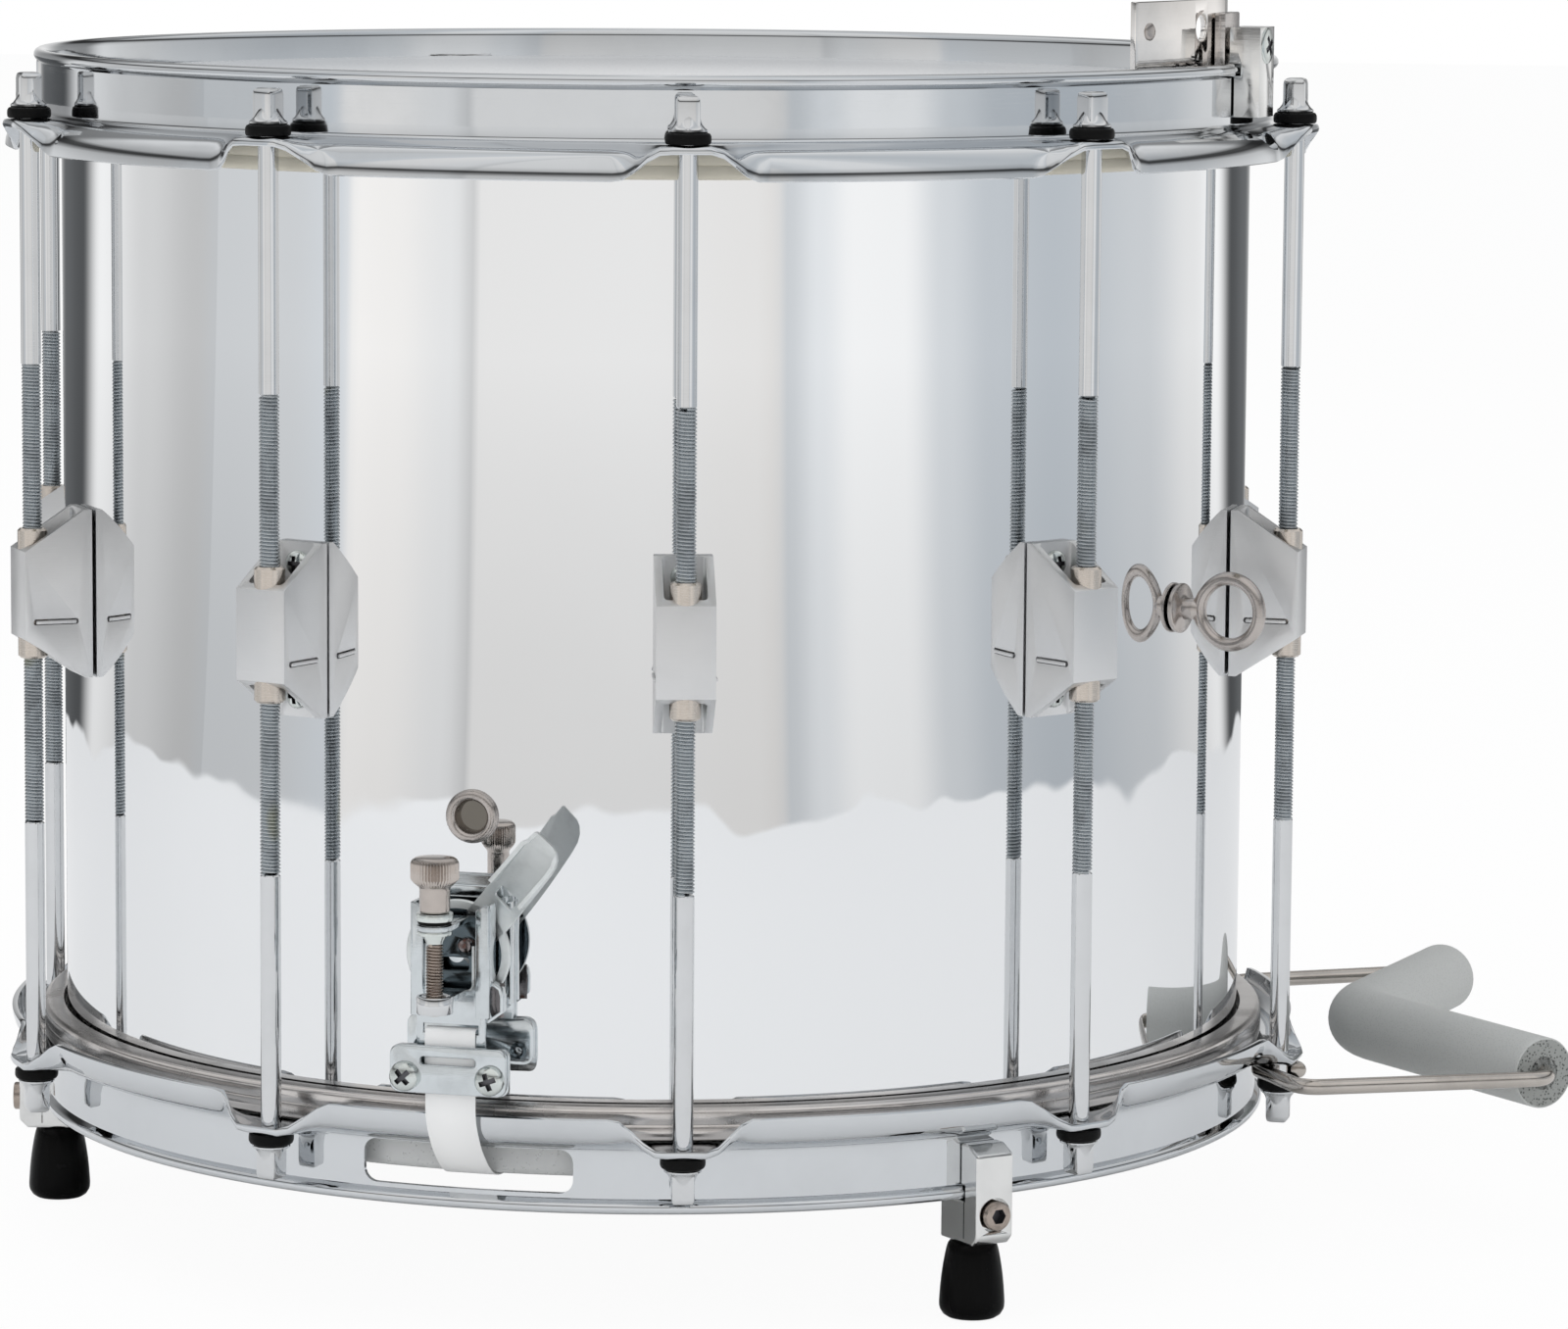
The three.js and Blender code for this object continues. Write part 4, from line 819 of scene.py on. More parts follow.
thread_tip = 142.4 * mm
key_shapes = {
    "top": (key_screw(-6.45 * mm, -80.6 * mm, -thread_tip), washer_ring(-9.65)),
    "bottom": (key_screw(-6.05 * mm, -81.9 * mm, -thread_tip), washer_ring(-9.25)),
    "wire": (key_screw(-1.05 * mm, -81.9 * mm, -thread_tip), washer_ring(-4.25)),
}
turned_over = Matrix.Translation((0, 0, -297 * mm)) @ Matrix.Rotation(math.pi, 4, "X")
for hoop in ("top", "bottom"):
    for number, angle in enumerate(lug_angles, 1):
        shape, ring = key_shapes["wire" if hoop == "bottom" and number in (3, 4) else hoop]
        place = station(angle) @ Matrix.Translation((rod_circle, 0, 0))
        if hoop == "bottom":
            place = place @ turned_over
        node = f"{hoop}_rod_{number:02d}"
        settle(
            shape.copy(), f"{hoop}_key_screw_{number:02d}", key_chrome, grey_thread, stands_for=[node],
            slot="chrome_rod", place=place, sharp=38,
        )
        settle(
            ring.copy(), f"{hoop}_washer_{number:02d}", washer_rubber, stands_for=[node], slot="rubber",
            place=place,
        )
for pair in key_shapes.values():
    for shape in pair:
        shape.free()

# Vent eyelet: a nickel-plated brass tube in the shell's vent hole, rolled over on both sides, which
# holds it there. The air in the drum moves through it.
satin_nickel = plated(
    "satin_nickel", (0.52, 0.48, 0.455), dull=0.32, gloss=0.2, cloud_scale=90, line_scale=260,
    line_depth=0.03, stain=0.15,
)
inside, outside = 175.2, 177.3
bm = laid(spun([
    (4.25, inside - 1.1), (6.8, inside - 0.9), (6.9, inside - 0.1), (5.2, inside), (5.2, outside),
    (7.1, outside), (7.5, outside + 0.35), (7.35, outside + 0.95), (6.8, outside + 1.5),
    (6.0, outside + 1.75), (5.3, outside + 1.6), (4.8, outside + 1.1), (4.45, outside + 0.4),
    (4.25, outside - 0.6),
], steps=48, unit=mm), z=vent_height)
settle(bm, "vent_eyelet_ring", satin_nickel, stands_for=["vent_eyelet"], slot="nickel", place=at_strainer)

# Sling eye: nickel-plated wire bent to a drop-shaped loop, with both ends brazed into a round foot
# that sits on the shell.
bm = bmesh.new()
eye_centre, loop_radius, wire_radius = 193.9 * mm, 9.55 * mm, 1.95 * mm
bmesh.ops.create_circle(bm, segments=14, radius=wire_radius)
bmesh.ops.rotate(bm, matrix=Matrix.Rotation(math.radians(90), 3, "X"), verts=bm.verts)
shifted(bm, loop_radius)
bmesh.ops.spin(
    bm, geom=bm.verts[:] + bm.edges[:], cent=(0, 0, 0), axis=(0, 0, 1), angle=2 * math.pi, steps=48,
    use_merge=True,
)
for vert in bm.verts:
    if vert.co.x < 0:
        vert.co.y *= 1 - 0.16 * (vert.co.x / (loop_radius + wire_radius)) ** 2
bmesh.ops.rotate(bm, matrix=Matrix.Rotation(math.radians(90), 3, "X"), verts=bm.verts)
shifted(bm, eye_centre)
stem = laid(spun([
    (0, 0.5), (7.0, 0.5), (7.2, 0.8), (7.2, 1.7), (6.6, 2.1), (4.2, 2.3), (3.2, 2.9), (3.0, 4.4), (3.2, 6.0),
    (2.2, 7.4), (0, 7.4),
], closed=False, steps=32, unit=mm), 177 * mm)
merge(bm, stem)
settle(
    bm, "sling_eye", satin_nickel, stands_for=["eye_ring"], slot="nickel",
    place=station(58.1) @ Matrix.Translation((0, 0, -147 * mm)),
)

# Throw-off frame: zinc-plated sheet steel, a back plate with two riveted ears and folded rails that the
# slide runs in. The lever's pivot is riveted through it and a bent stop stands at its lower right.
def zinc_plate(name, colour, rust, dull=0.24, gloss=0.12):
    """Blue-bright zinc with wiping marks and a few rust spots. rust is how much of it has turned."""
    finish = plated(
        name, colour, dull=dull, gloss=gloss, cloud_scale=90, line_scale=220, line_depth=0.012, stain=0.14,
    )
    tree = finish.node_tree
    metal = tree.nodes["Principled BSDF"]
    place = add(tree, "TexCoord", "Object")
    spots = add(tree, "TexNoise", "Fac", {"Vector": place, "Scale": 210, "Detail": 4})
    turned = ranged(tree, spots, 0.76 - 0.2 * rust, 0.82 - 0.16 * rust, step="SMOOTHSTEP")
    grain = add(tree, "TexNoise", "Fac", {"Vector": place, "Scale": 700})
    rusty = mixed(tree, grain, (0.16, 0.045, 0.018, 1), (0.05, 0.014, 0.009, 1))
    sound, polish = [metal.inputs[name].links[0].from_socket for name in ("Base Color", "Roughness")]
    feed(tree, metal, {
        "Base Color": mixed(tree, turned, sound, rusty),
        "Metallic": reckoned(tree, "SUBTRACT", 1, turned),
        "Roughness": reckoned(tree, "MAXIMUM", polish, reckoned(tree, "MULTIPLY", turned, 0.75)),
    })
    return finish


bright_zinc = zinc_plate("bright_zinc", (0.66, 0.70, 0.72), rust=0.04)
# Dark zinc for the ear rivets, and painted shade on the slide plate, the lever disc's middle and the sheet
# behind the slide, in the shaded cavity between the rails.
dark_zinc_and_painted_shade = zinc_plate("dark_zinc_and_painted_shade", (0.10, 0.125, 0.14), rust=0.3)
rusted_steel = zinc_plate("rusted_steel", (0.22, 0.2, 0.2), rust=1.0)
pivot_height = -233 * mm
frame_top, frame_bottom = -218.1 * mm, -249.5 * mm
ear_rivet_reach, ear_rivet_level = 14.1 * mm, -261.5 * mm


def round_bar(radius, length, segments=24):
    """An upright round bar about the origin, for cutting a bore."""
    bm = bmesh.new()
    bmesh.ops.create_cone(bm, cap_ends=True, segments=segments, radius1=radius, radius2=radius, depth=length)
    return bm


def folded_rail(hand):
    """One rail in plan: a wall with its front edge folded in over the slide."""
    plan = [
        (191.3, 11.5), (196.3, 11.5), (196.9, 11.3), (197.3, 10.9), (197.5, 10.3), (197.5, 7.7), (197.2, 7.5),
        (196.5, 7.5), (196.3, 7.7), (196.3, 9.9), (195.9, 10.3), (191.3, 10.3),
    ]
    bm = bmesh.new()
    verts = [bm.verts.new((x * mm, hand * y * mm, frame_bottom)) for x, y in plan]
    grown = bmesh.ops.extrude_face_region(bm, geom=[bm.faces.new(verts)], use_keep_orig=True)
    top = [g for g in grown["geom"] if isinstance(g, bmesh.types.BMVert)]
    bmesh.ops.translate(bm, vec=(0, 0, frame_top - frame_bottom), verts=top)
    for vert in top:
        if vert.co.x > 196.2 * mm and abs(vert.co.y) < 9 * mm:
            vert.co.z -= 1.5 * mm
    bmesh.ops.recalc_face_normals(bm, faces=bm.faces)
    return bm


plate = sheet_block(177.4, 178.9, -12.5, 12.5, -253.6, -212.7, 1.5)
ears = sheet_block(177.4, 178.95, -18.4, 18.4, -265.5, -252.6, 3.0)
ears = carve(ears, *[
    laid(round_bar(1.2 * mm, 20 * mm), 178 * mm, side * ear_rivet_reach, ear_rivet_level) for side in (-1, 1)
])
left_wall = sheet_block(178.6, 191.6, -11.5, -10.3, -249.5, -218.1)
left_wall = carve(left_wall, sheet_block(187.6, 191.0, -13, -9, -243.8, -222.2))
right_wall = sheet_block(178.6, 191.6, 10.3, 11.5, -249.5, -218.1)
right_wall = carve(right_wall, sheet_block(182.2, 193.0, 9, 13, -246.2, -216.0, 1.2))
rear_fold = sheet_block(178.6, 182.0, 11.6, 12.8, -248.4, -219.4, 0.5, along="y")
ridge = sheet_block(178.7, 180.2, -11.8, 9.6, -218.6, -215.4, 0.5, along="y")
pieces = [ears, left_wall, right_wall, rear_fold, ridge, folded_rail(-1), folded_rail(1)]
for piece in (plate, *pieces):
    soften(piece, 0.22 * mm)
boss = laid(spun([
    (0, 0), (4, 0), (4, 9.4), (2.4, 9.4), (2.4, 12.3), (0, 12.3),
], closed=False, steps=28, unit=mm), 178.6 * mm, z=pivot_height)
settle(
    merge(plate, *pieces, boss), "throw_off_frame", bright_zinc, stands_for=["throw_off_base"], slot="zinc",
    place=at_strainer,
)
# A thin dark sheet just in front of the back plate between the rails: painted shade for the hollow behind the
# slide.
lining = sheet_block(179.0, 179.4, -10.2, 10.2, -249.0, -219.0)
settle(lining, "throw_off_painted_shade_sheet", dark_zinc_and_painted_shade, stands_for=["throw_off_base"], place=at_strainer)


def ear_rivets(prefix, node, seat):
    """The two hollow rivets that hold a bracket's ears to the shell."""
    for side, name in ((-1, "left"), (1, "right")):
        rivet = laid(spun([
            (1.1, -1), (1.15, 0.6), (1.7, 1.1), (2.2, 0.9), (2.4, 0.1), (2.4, -0.2), (1.7, -1),
        ], steps=32, unit=mm), 178.95 * mm, side * ear_rivet_reach, ear_rivet_level)
        settle(rivet, f"{prefix}_rivet_{name}", dark_zinc_and_painted_shade, stands_for=[node], place=seat)


ear_rivets("ear", "throw_off_base", at_strainer)


def bent_stop():
    """A strip bent into an open box, seen end-on."""
    outer = [
        (9.2, -239.2), (12.0, -239.9), (14.0, -241.4), (14.6, -243.4), (14.6, -248.2), (10.2, -251.4),
        (9.2, -250.2),
    ]
    inner = [
        (10.1, -240.4), (11.8, -240.9), (13.2, -241.9), (13.7, -243.6), (13.7, -247.8), (10.3, -250.2),
        (10.1, -249.8),
    ]
    bm = prism([(a * mm, b * mm) for a, b in outer], 191.2 * mm, 194.6 * mm, across="x")
    bm = carve(bm, prism([(a * mm, b * mm) for a, b in inner], 189 * mm, 196 * mm, across="x"))
    soften(bm, 0.18 * mm)
    return bm


settle(bent_stop(), "throw_off_stop", bright_zinc, stands_for=["throw_off_base"], place=at_strainer)
settle(
    sheet_block(191.0, 191.4, 10.0, 13.8, -250.0, -240.4), "throw_off_stop_back", rusted_steel,
    stands_for=["throw_off_base"], place=at_strainer,
)

# Throw-off lever: a pressed channel of zinc-plated steel on a disc that turns on the pivot. Past the
# window it is cranked outward, so its sides get lower toward the tip. A pin set off the disc's middle
# drops the slide as the lever comes down.
rest_turn = Matrix.Rotation(math.radians(49), 3, "X")


def lever_shape():
    """The arm and its disc, at rest. Face material 1 is the disc's middle, darkened with painted shade."""
    back, face, crank_start, crank = 188.4, 189.9, 18.6, math.tan(math.radians(21))
    outline = [
        (0, -6), (37.0, -6), (40.0, -5.75), (42.2, -4.9), (43.8, -3.4), (44.5, -1.6), (44.5, 4.3),
        (44.0, 4.9), (40.6, 5.3), (39.2, 6), (0, 6),
    ]
    arm = prism([(a * mm, b * mm) for a, b in outline], back * mm, 198 * mm, across="x")
    room = [
        (24.3, -4.8), (37.0, -4.8), (39.8, -4.5), (41.6, -3.8), (46, -3), (46, 3.7), (40.4, 4.2), (39.0, 4.8),
        (24.3, 4.8),
    ]
    above_sides = [(197.4, 20), (190.3, 42.5), (189.9, 46), (205, 46), (205, 20)]
    arm = carve(
        arm, sheet_block(face, 200, -3, 24.3, -9, 9),
        prism([(a * mm, b * mm) for a, b in room], face * mm, 200 * mm, across="x"),
        prism([(x * mm, a * mm) for x, a in above_sides], -9 * mm, 9 * mm, across="z"),
        sheet_block(back - 1, 200, 19.8, 24.0, -3.3, 3.1, 0.8),
    )
    disc = spun([
        (2.5, back), (14.7, back), (15, back + 0.3), (15, face - 0.3), (14.7, face), (12.6, face),
        (2.5, face),
    ], steps=96, unit=mm)
    # The disc's middle takes the dark material: painted shade where it is seen through the slide's windows.
    for flat in disc.faces:
        if flat.calc_center_median().xy.length < 11 * mm:
            flat.material_index = 1
    laid(disc)
    soften(arm, 0.3 * mm, segments=3, angle=35)
    for step in range(4):
        cut_at = (0, (crank_start - 1.5 + step) * mm, 0)
        bmesh.ops.bisect_plane(
            arm, geom=[*arm.verts, *arm.edges, *arm.faces], plane_co=cut_at, plane_no=(0, 1, 0),
        )
    for vert in arm.verts:
        past = vert.co.y / mm - crank_start
        vert.co.x += crank * (max(past, 0) if abs(past) > 1.5 else (past + 1.5) ** 2 / 6) * mm
    bmesh.ops.rotate(arm, matrix=rest_turn, verts=arm.verts)
    return shifted(merge(arm, disc), z=pivot_height)


lever_zinc = zinc_plate("lever_zinc", (0.80, 0.83, 0.83), rust=0.12, dull=0.52, gloss=0.42)
settle(
    lever_shape(), "throw_off_arm", lever_zinc, dark_zinc_and_painted_shade, body="lever", stands_for=["throw_off_lever"],
    slot="zinc", place=at_strainer, sharp=14,
)

# Slide: a stamped zinc plate between the rails. The pin moves it up and down, and its bent tab with a
# round nose carries the adjusting screw.
screw_reach = 210 * mm


def nosed_tab(x0, half, z0, z1, hole):
    """A tab out to the screw's axis and its round nose, both with a hole for the screw."""
    tab = sheet_block(x0, 210, -half, half, z0, z1)
    nose = spun([(0, z0), (half, z0), (half, z1), (0, z1)], closed=False, steps=40, unit=mm)
    shifted(nose, screw_reach)
    bmesh.ops.recalc_face_normals(nose, faces=nose.faces)
    bore = shifted(round_bar(hole * mm, 20 * mm), screw_reach, z=(z0 + z1) / 2 * mm)
    return carve(tab, bore.copy()), carve(nose, bore)


cam_side = 3.575
slide_plate = sheet_block(192.5, 194.0, -9.9, 9.9, -240.0, -221.7)
slide_plate = carve(
    slide_plate, sheet_block(191, 196, cam_side - 1.9, 6.6, -232.0, -228.1, 0.8),
    sheet_block(191, 196, -12, -5.4, -229.4, -223.6, 0.9),
    sheet_block(191, 196, -3.2, 4.6, -237.0, -233.4, 0.9),
)
tab, nose = nosed_tab(192.5, 4.9, -223.2, -221.7, 2.8)
for piece in (slide_plate, tab, nose):
    soften(piece, 0.22 * mm)
# The whole stamped plate takes the dark zinc as painted shade for the shaded cavity between the rails. The
# tab and its nose stay bright.
for face in slide_plate.faces:
    face.material_index = 1
settle(
    merge(slide_plate, tab, nose), "throw_off_slide_plate", bright_zinc, dark_zinc_and_painted_shade, body="slide",
    stands_for=["throw_off_slide"], slot="zinc", place=at_strainer,
)
pin = laid(spun([
    (0, 189), (1.5, 189), (1.5, 193.4), (2.1, 193.5), (2.3, 194.0), (1.7, 194.8), (0, 195.1),
], closed=False, steps=24, unit=mm), 0, cam_side * mm, pivot_height + 3 * mm)
settle(
    pin, "throw_off_cam_pin", rusted_steel, body="lever", stands_for=["throw_off_lever"],
    place=at_strainer,
)

# Adjusting screw: a knurled nickel-plated knob turned in one with its neck, on a brown-black screw with
# a zinc washer, a rubber ring and a collar that hold it in the slide's tab.
screw_place = at_strainer @ Matrix.Translation((screw_reach, 0, 0))


def knurled_knob():
    """The knob and its neck. The knurl is a round of rounded grooves pressed into its rim."""
    teeth, depth = 44, 0.5
    bm = spun([
        (0, -203.0), (3.6, -203.02), (5.4, -203.25), (6.1, -203.7), (6.5, -204.3), (6.65, -204.7),
        (6.65, -208.7), (6.5, -209.2), (5.6, -210.2), (4.5, -211.2), (4.25, -211.6), (4.2, -212.2),
        (4.2, -217.6), (4.0, -218.1), (0, -218.1),
    ], closed=False, steps=teeth * 4, unit=mm)
    for vert in bm.verts:
        reach = vert.co.xy.length / mm
        if reach > 6.05 and vert.co.z > -209.4 * mm:
            turn = math.atan2(vert.co.y, vert.co.x) * teeth
            cut = (0.5 - 0.5 * math.cos(turn)) * depth * min(1, (reach - 6.0) / 0.5)
            vert.co.x *= 1 - cut / reach
            vert.co.y *= 1 - cut / reach
    return bm


warm_nickel = plated(
    "warm_nickel", (0.54, 0.49, 0.455), dull=0.26, gloss=0.15, cloud_scale=90, line_scale=260,
    line_depth=0.02, stain=0.12,
)
brown_steel = plated(
    "brown_steel", (0.44, 0.375, 0.33), dull=0.36, gloss=0.22, cloud_scale=200, line_scale=60,
    line_depth=0.02, stain=0.35,
)
settle(
    knurled_knob(), "adjusting_knob", warm_nickel, body="knob", stands_for=["throw_off_knob"], slot="nickel",
    place=screw_place, sharp=30,
)
bm = spun([
    (2.3, -226.9), (2.45, -226.3), (3.0, -225.2), (3.2, -224.5), (4.7, -224.4), (4.8, -224.2), (4.8, -223.4),
    (4.7, -223.25), (2.6, -223.25), (2.6, -221.65), (4.0, -221.65), (4.0, -220.5), (5.0, -220.45),
    (5.1, -220.2), (5.1, -218.7), (4.95, -218.4), (4.1, -218.35), (0, -218.3),
], closed=False, steps=48, unit=mm)
settle(
    bm, "adjusting_screw_washers", screw_plate, body="knob", stands_for=["throw_off_knob"], slot="zinc",
    place=screw_place,
)
bm = spun([
    (4.0, -221.6), (4.35, -221.5), (4.6, -221.2), (4.65, -220.95), (4.5, -220.65), (4.3, -220.5),
    (4.0, -220.5),
], steps=40, unit=mm)
settle(
    bm, "adjusting_screw_ring", washer_rubber, body="knob", stands_for=["throw_off_knob"], slot="rubber",
    place=screw_place,
)
bm = spun([
    (0, -226.0), (2.3, -226.0), (2.3, -226.9), (1.8, -227.0), (1.8, -242.4), (0, -242.4),
], closed=False, steps=20, unit=mm)
thread(bm, -226.9 * mm, 18, root=1.72 * mm, crest=2.45 * mm, pitch=0.86 * mm, sides=16)
settle(
    bm, "adjusting_screw_thread", brown_steel, body="knob", stands_for=["throw_off_knob"], place=screw_place,
    sharp=38,
)
bm = spun([
    (0, -240.9), (2.3, -240.9), (2.3, -245.3), (1.9, -246.7), (1.7, -246.9), (0, -246.9),
], closed=False, steps=24, unit=mm)
settle(
    bm, "adjusting_screw_end", champagne_nickel, body="knob", stands_for=["throw_off_knob"],
    place=screw_place,
)

# Carriage: a stamped zinc plate that the screw raises and lowers, with a threaded eye bent out of it, a
# slot that the strap comes through and a wide foot for the clamp.
def carriage_shape():
    """The plate with its foot, tab and eye. Face material 1 is the eye."""
    neck = sheet_block(194.5, 196.0, -9.9, 9.9, -259.0, -229.6)
    neck = carve(
        neck, sheet_block(193, 198, -6.0, 6.0, -241.9, -228.0, 1.4),
        sheet_block(193, 198, -8.0, 8.0, -254.4, -251.8),
    )
    foot = sheet_block(194.5, 196.0, -16.75, 16.75, -271.3, -257.9, 2.4)
    tab = sheet_block(195.0, 206.5, -4.4, 4.4, -243.4, -241.9)
    eye = spun([
        (3.9, -246.2), (4.9, -246.2), (5.1, -245.9), (5.1, -241.7), (4.9, -241.4), (4.3, -241.4),
        (4.1, -241.7), (4.1, -243.6), (2.7, -243.7), (2.7, -245.9),
    ], steps=48, unit=mm)
    shifted(eye, screw_reach)
    bmesh.ops.recalc_face_normals(eye, faces=eye.faces)
    for piece in (neck, foot, tab):
        soften(piece, 0.22 * mm)
    for face in eye.faces:
        face.material_index = 1
    return merge(neck, foot, tab, eye)


settle(
    carriage_shape(), "carriage_plate", bright_zinc, key_chrome, body="carriage",
    stands_for=["strap_carriage"], slot="zinc", place=at_strainer,
)

# Strap clamps: a rounded zinc plate with a slot, pulled down on the strap by two cross-headed screws.
# One is on the carriage, the other on the butt plate opposite.
pan_screw = cross_screw(8.5 * mm, 3.1 * mm, shank=1.8 * mm)


def strap_clamp(name, body, node, seat, turns):
    """One clamp plate and its two screws. turns are the screws' own bearings in degrees."""
    clamp = sheet_block(197.2, 199.0, -16.75, 16.75, -271.0, -257.6, 2.8, segments=6)
    clamp = carve(clamp, sheet_block(196, 200, -8.0, 8.0, -262.9, -260.7, 1.0))
    soften(clamp, 0.45 * mm, segments=3)
    settle(clamp, f"{name}_plate", bright_zinc, body=body, stands_for=[node], slot="zinc", place=seat)
    for side, end, turn in ((-1, "left", turns[0]), (1, "right", turns[1])):
        settle(
            pan_screw.copy(), f"{name}_screw_{end}", screw_plate, painted_recess_shade, body=body,
            place=seat @ Matrix.Translation((199.0 * mm, side * 12.3 * mm, -266.3 * mm))
            @ Matrix.Rotation(math.radians(turn), 4, "X"),
        )


strap_clamp("front_clamp", "carriage", "strap_clamp_front", at_strainer, (42, 20))
strap_clamp("rear_clamp", "root", "butt_plate", at_butt, (10, 65))
pan_screw.free()

# Snare straps: flat white polyester film. Each comes out of its clamp, runs over the hoop's skirt and
# through the gate to the end plate of the strands.
strap_white = film("strap_white", (0.95, 0.95, 0.94), rough=0.38, through=0.0)


def smoothed(points, rounds=3):
    """The points with their corners cut, the two ends kept."""
    for _ in range(rounds):
        cut = [points[0]]
        for (ax, az), (bx, bz) in zip(points, points[1:]):
            for near, far in ((0.75, 0.25), (0.25, 0.75)):
                cut.append((ax * near + bx * far, az * near + bz * far))
        points = cut + [points[-1]]
    return points


def strap_ribbon(points):
    """A strap along (x, z) points in the plane of its clamp, with its thickness and slightly eased sides."""
    half_width, half_thick = 7.25, 0.17
    route = smoothed(points)
    front, back = [], []
    for before, here, after in zip([route[0]] + route[:-1], route, route[1:] + [route[-1]]):
        along = Vector((after[0] - before[0], after[1] - before[1])).normalized() * half_thick
        front.append(((here[0] - along.y) * mm, (here[1] + along.x) * mm))
        back.append(((here[0] + along.y) * mm, (here[1] - along.x) * mm))
    bm = prism(front + back[::-1], -half_width * mm, half_width * mm, across="y")
    sides = [
        e for e in bm.edges if abs(e.verts[0].co.y - e.verts[1].co.y) < 1e-6 and e.calc_face_angle(0) > 1
    ]
    bmesh.ops.bevel(bm, geom=sides, offset=0.08 * mm, segments=1, profile=0.5, affect="EDGES", material=-1)
    flats = [f for f in bm.faces if len(f.verts) > 4]
    bmesh.ops.triangulate(bm, faces=flats)
    return bm


over_hoop = [
    (196.25, -271), (196.3, -277.8), (194.1, -282.6), (190.9, -287.3), (187.2, -291.0), (183.2, -294.4),
    (177.2, -297.6), (165.4, -298.3),
]
settle(
    strap_ribbon([(194.0, -252.9), (195.4, -252.9), (196.55, -253.6), (196.68, -256), (196.68, -268)]),
    "front_strap_top", strap_white, body="carriage", stands_for=["snare_strap_front"], slot="strap",
    place=at_strainer, sharp=60,
)
front_strap = settle(
    strap_ribbon([(196.25, -263), *over_hoop]), "front_strap", strap_white, body=None,
    stands_for=["snare_strap_front"], slot="strap", place=at_strainer, sharp=60,
)
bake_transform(front_strap)
settle(
    strap_ribbon([(196.25, -254.3), (196.25, -258), *over_hoop]), "rear_strap", strap_white,
    stands_for=["snare_strap_rear"], slot="strap", place=at_butt, sharp=60,
)

# Snare strands: twelve coils of thin steel wire, soldered to a bent steel plate at each end.
strand_steel = plated(
    "strand_steel", (0.56, 0.57, 0.58), dull=0.4, gloss=0.25, cloud_scale=80, line_scale=200, stain=0.15,
)


coil_ring = [(0.5, 0.06), (0.75, 0.3), (0.75, 0.7), (0.5, 0.94)]


def strand_wire():
    """One coil, a ribbed rod of rings that stand close together."""
    pitch, half = 1.6, 158.0
    outline = [(0, -half)]
    for ring in range(int(2 * half / pitch)):
        low = -half + ring * pitch
        outline += [(radius, low + share * pitch) for radius, share in coil_ring]
    outline.append((0, half))
    return laid(spun(outline, closed=False, steps=8, unit=mm))


coil = strand_wire()
for number in range(12):
    strand = shifted(coil.copy(), 0, (number - 5.5) * 3.2 * mm, -298.05 * mm)
    settle(
        strand, f"snare_coil_{number + 1:02d}", strand_steel, stands_for=["snare_strands"], slot="strands",
        place=at_strainer,
    )
coil.free()
for side, name in ((-1, "rear"), (1, "front")):
    ends = sorted((side * 165.0, side * 152.0))
    end_plate = sheet_block(*ends, -22, 22, -298.5, -297.6, 1.0, along="z")
    soften(end_plate, 0.15 * mm, segments=1)
    settle(
        end_plate, f"snare_end_plate_{name}", bright_zinc, stands_for=["snare_strands"], slot="strands",
        place=at_strainer,
    )
    for spot in (-16, 16):
        head = spun([
            (0, -299.6), (1.6, -299.5), (2.3, -299.1), (2.5, -298.6), (2.5, -298.3), (0, -298.3),
        ], closed=False, steps=24, unit=mm)
        shifted(head, side * 160.5 * mm, spot * mm)
        settle(
            head, f"snare_plate_rivet_{name}_{'left' if spot < 0 else 'right'}", screw_plate,
            stands_for=["snare_strands"], place=at_strainer,
        )

# Butt plate: a zinc-plated bracket opposite the throw-off, stamped and folded like it, with a fixed clamp.
def pressed(node, edge):
    """The node's own shape with its facets merged and its edges rounded."""
    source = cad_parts[node]
    bm = bmesh.new()
    bm.from_mesh(source.data)
    bmesh.ops.transform(bm, matrix=source.matrix_world, verts=bm.verts)
    bmesh.ops.remove_doubles(bm, verts=bm.verts, dist=1e-6)
    soften(bm, edge, angle=25)
    return bm


def butt_bracket():
    """The folded bracket with its ears, the foot that carries the clamp and two pads under the clamp."""
    plate = sheet_block(177.4, 178.9, -12.5, 12.5, -253.6, -236.0, 1.5)
    ears = sheet_block(177.4, 178.95, -18.4, 18.4, -265.5, -252.6, 3.0)
    webs = [sheet_block(178.6, 195.4, *sides, -258.0, -236.0) for sides in ((-12.5, -11.0), (11.0, 12.5))]
    face = sheet_block(194.5, 196.0, -12.5, 12.5, -260.0, -236.0, 1.2)
    foot = sheet_block(194.5, 196.0, -16.75, 16.75, -271.3, -257.9, 2.4)
    pads = [sheet_block(195.5, 197.4, *sides, -268.3, -260.9) for sides in ((-15.25, -8), (8, 15.25))]
    pieces = [ears, *webs, face, foot, *pads]
    for piece in (plate, *pieces):
        soften(piece, 0.25 * mm)
    return merge(plate, *pieces)


settle(
    butt_bracket(), "butt_bracket", bright_zinc, stands_for=["butt_plate"], slot="zinc",
    place=at_butt,
)
ear_rivets("butt", "butt_plate", at_butt)

# Leg clamps: three cast and plated blocks that hook over the snare hoop's bead, each pulled tight by a
# socket-head screw in a counterbore on its outer face. A block is a fifth wider than its node.
cast_plate = plated(
    "cast_plate", (0.80, 0.80, 0.79), dull=0.24, gloss=0.13, cloud_scale=60, line_scale=120, line_depth=0.02,
    stain=0.08,
)
clamp_angles = (30, -90, 150)
clamp_screw_level = -309.7 * mm


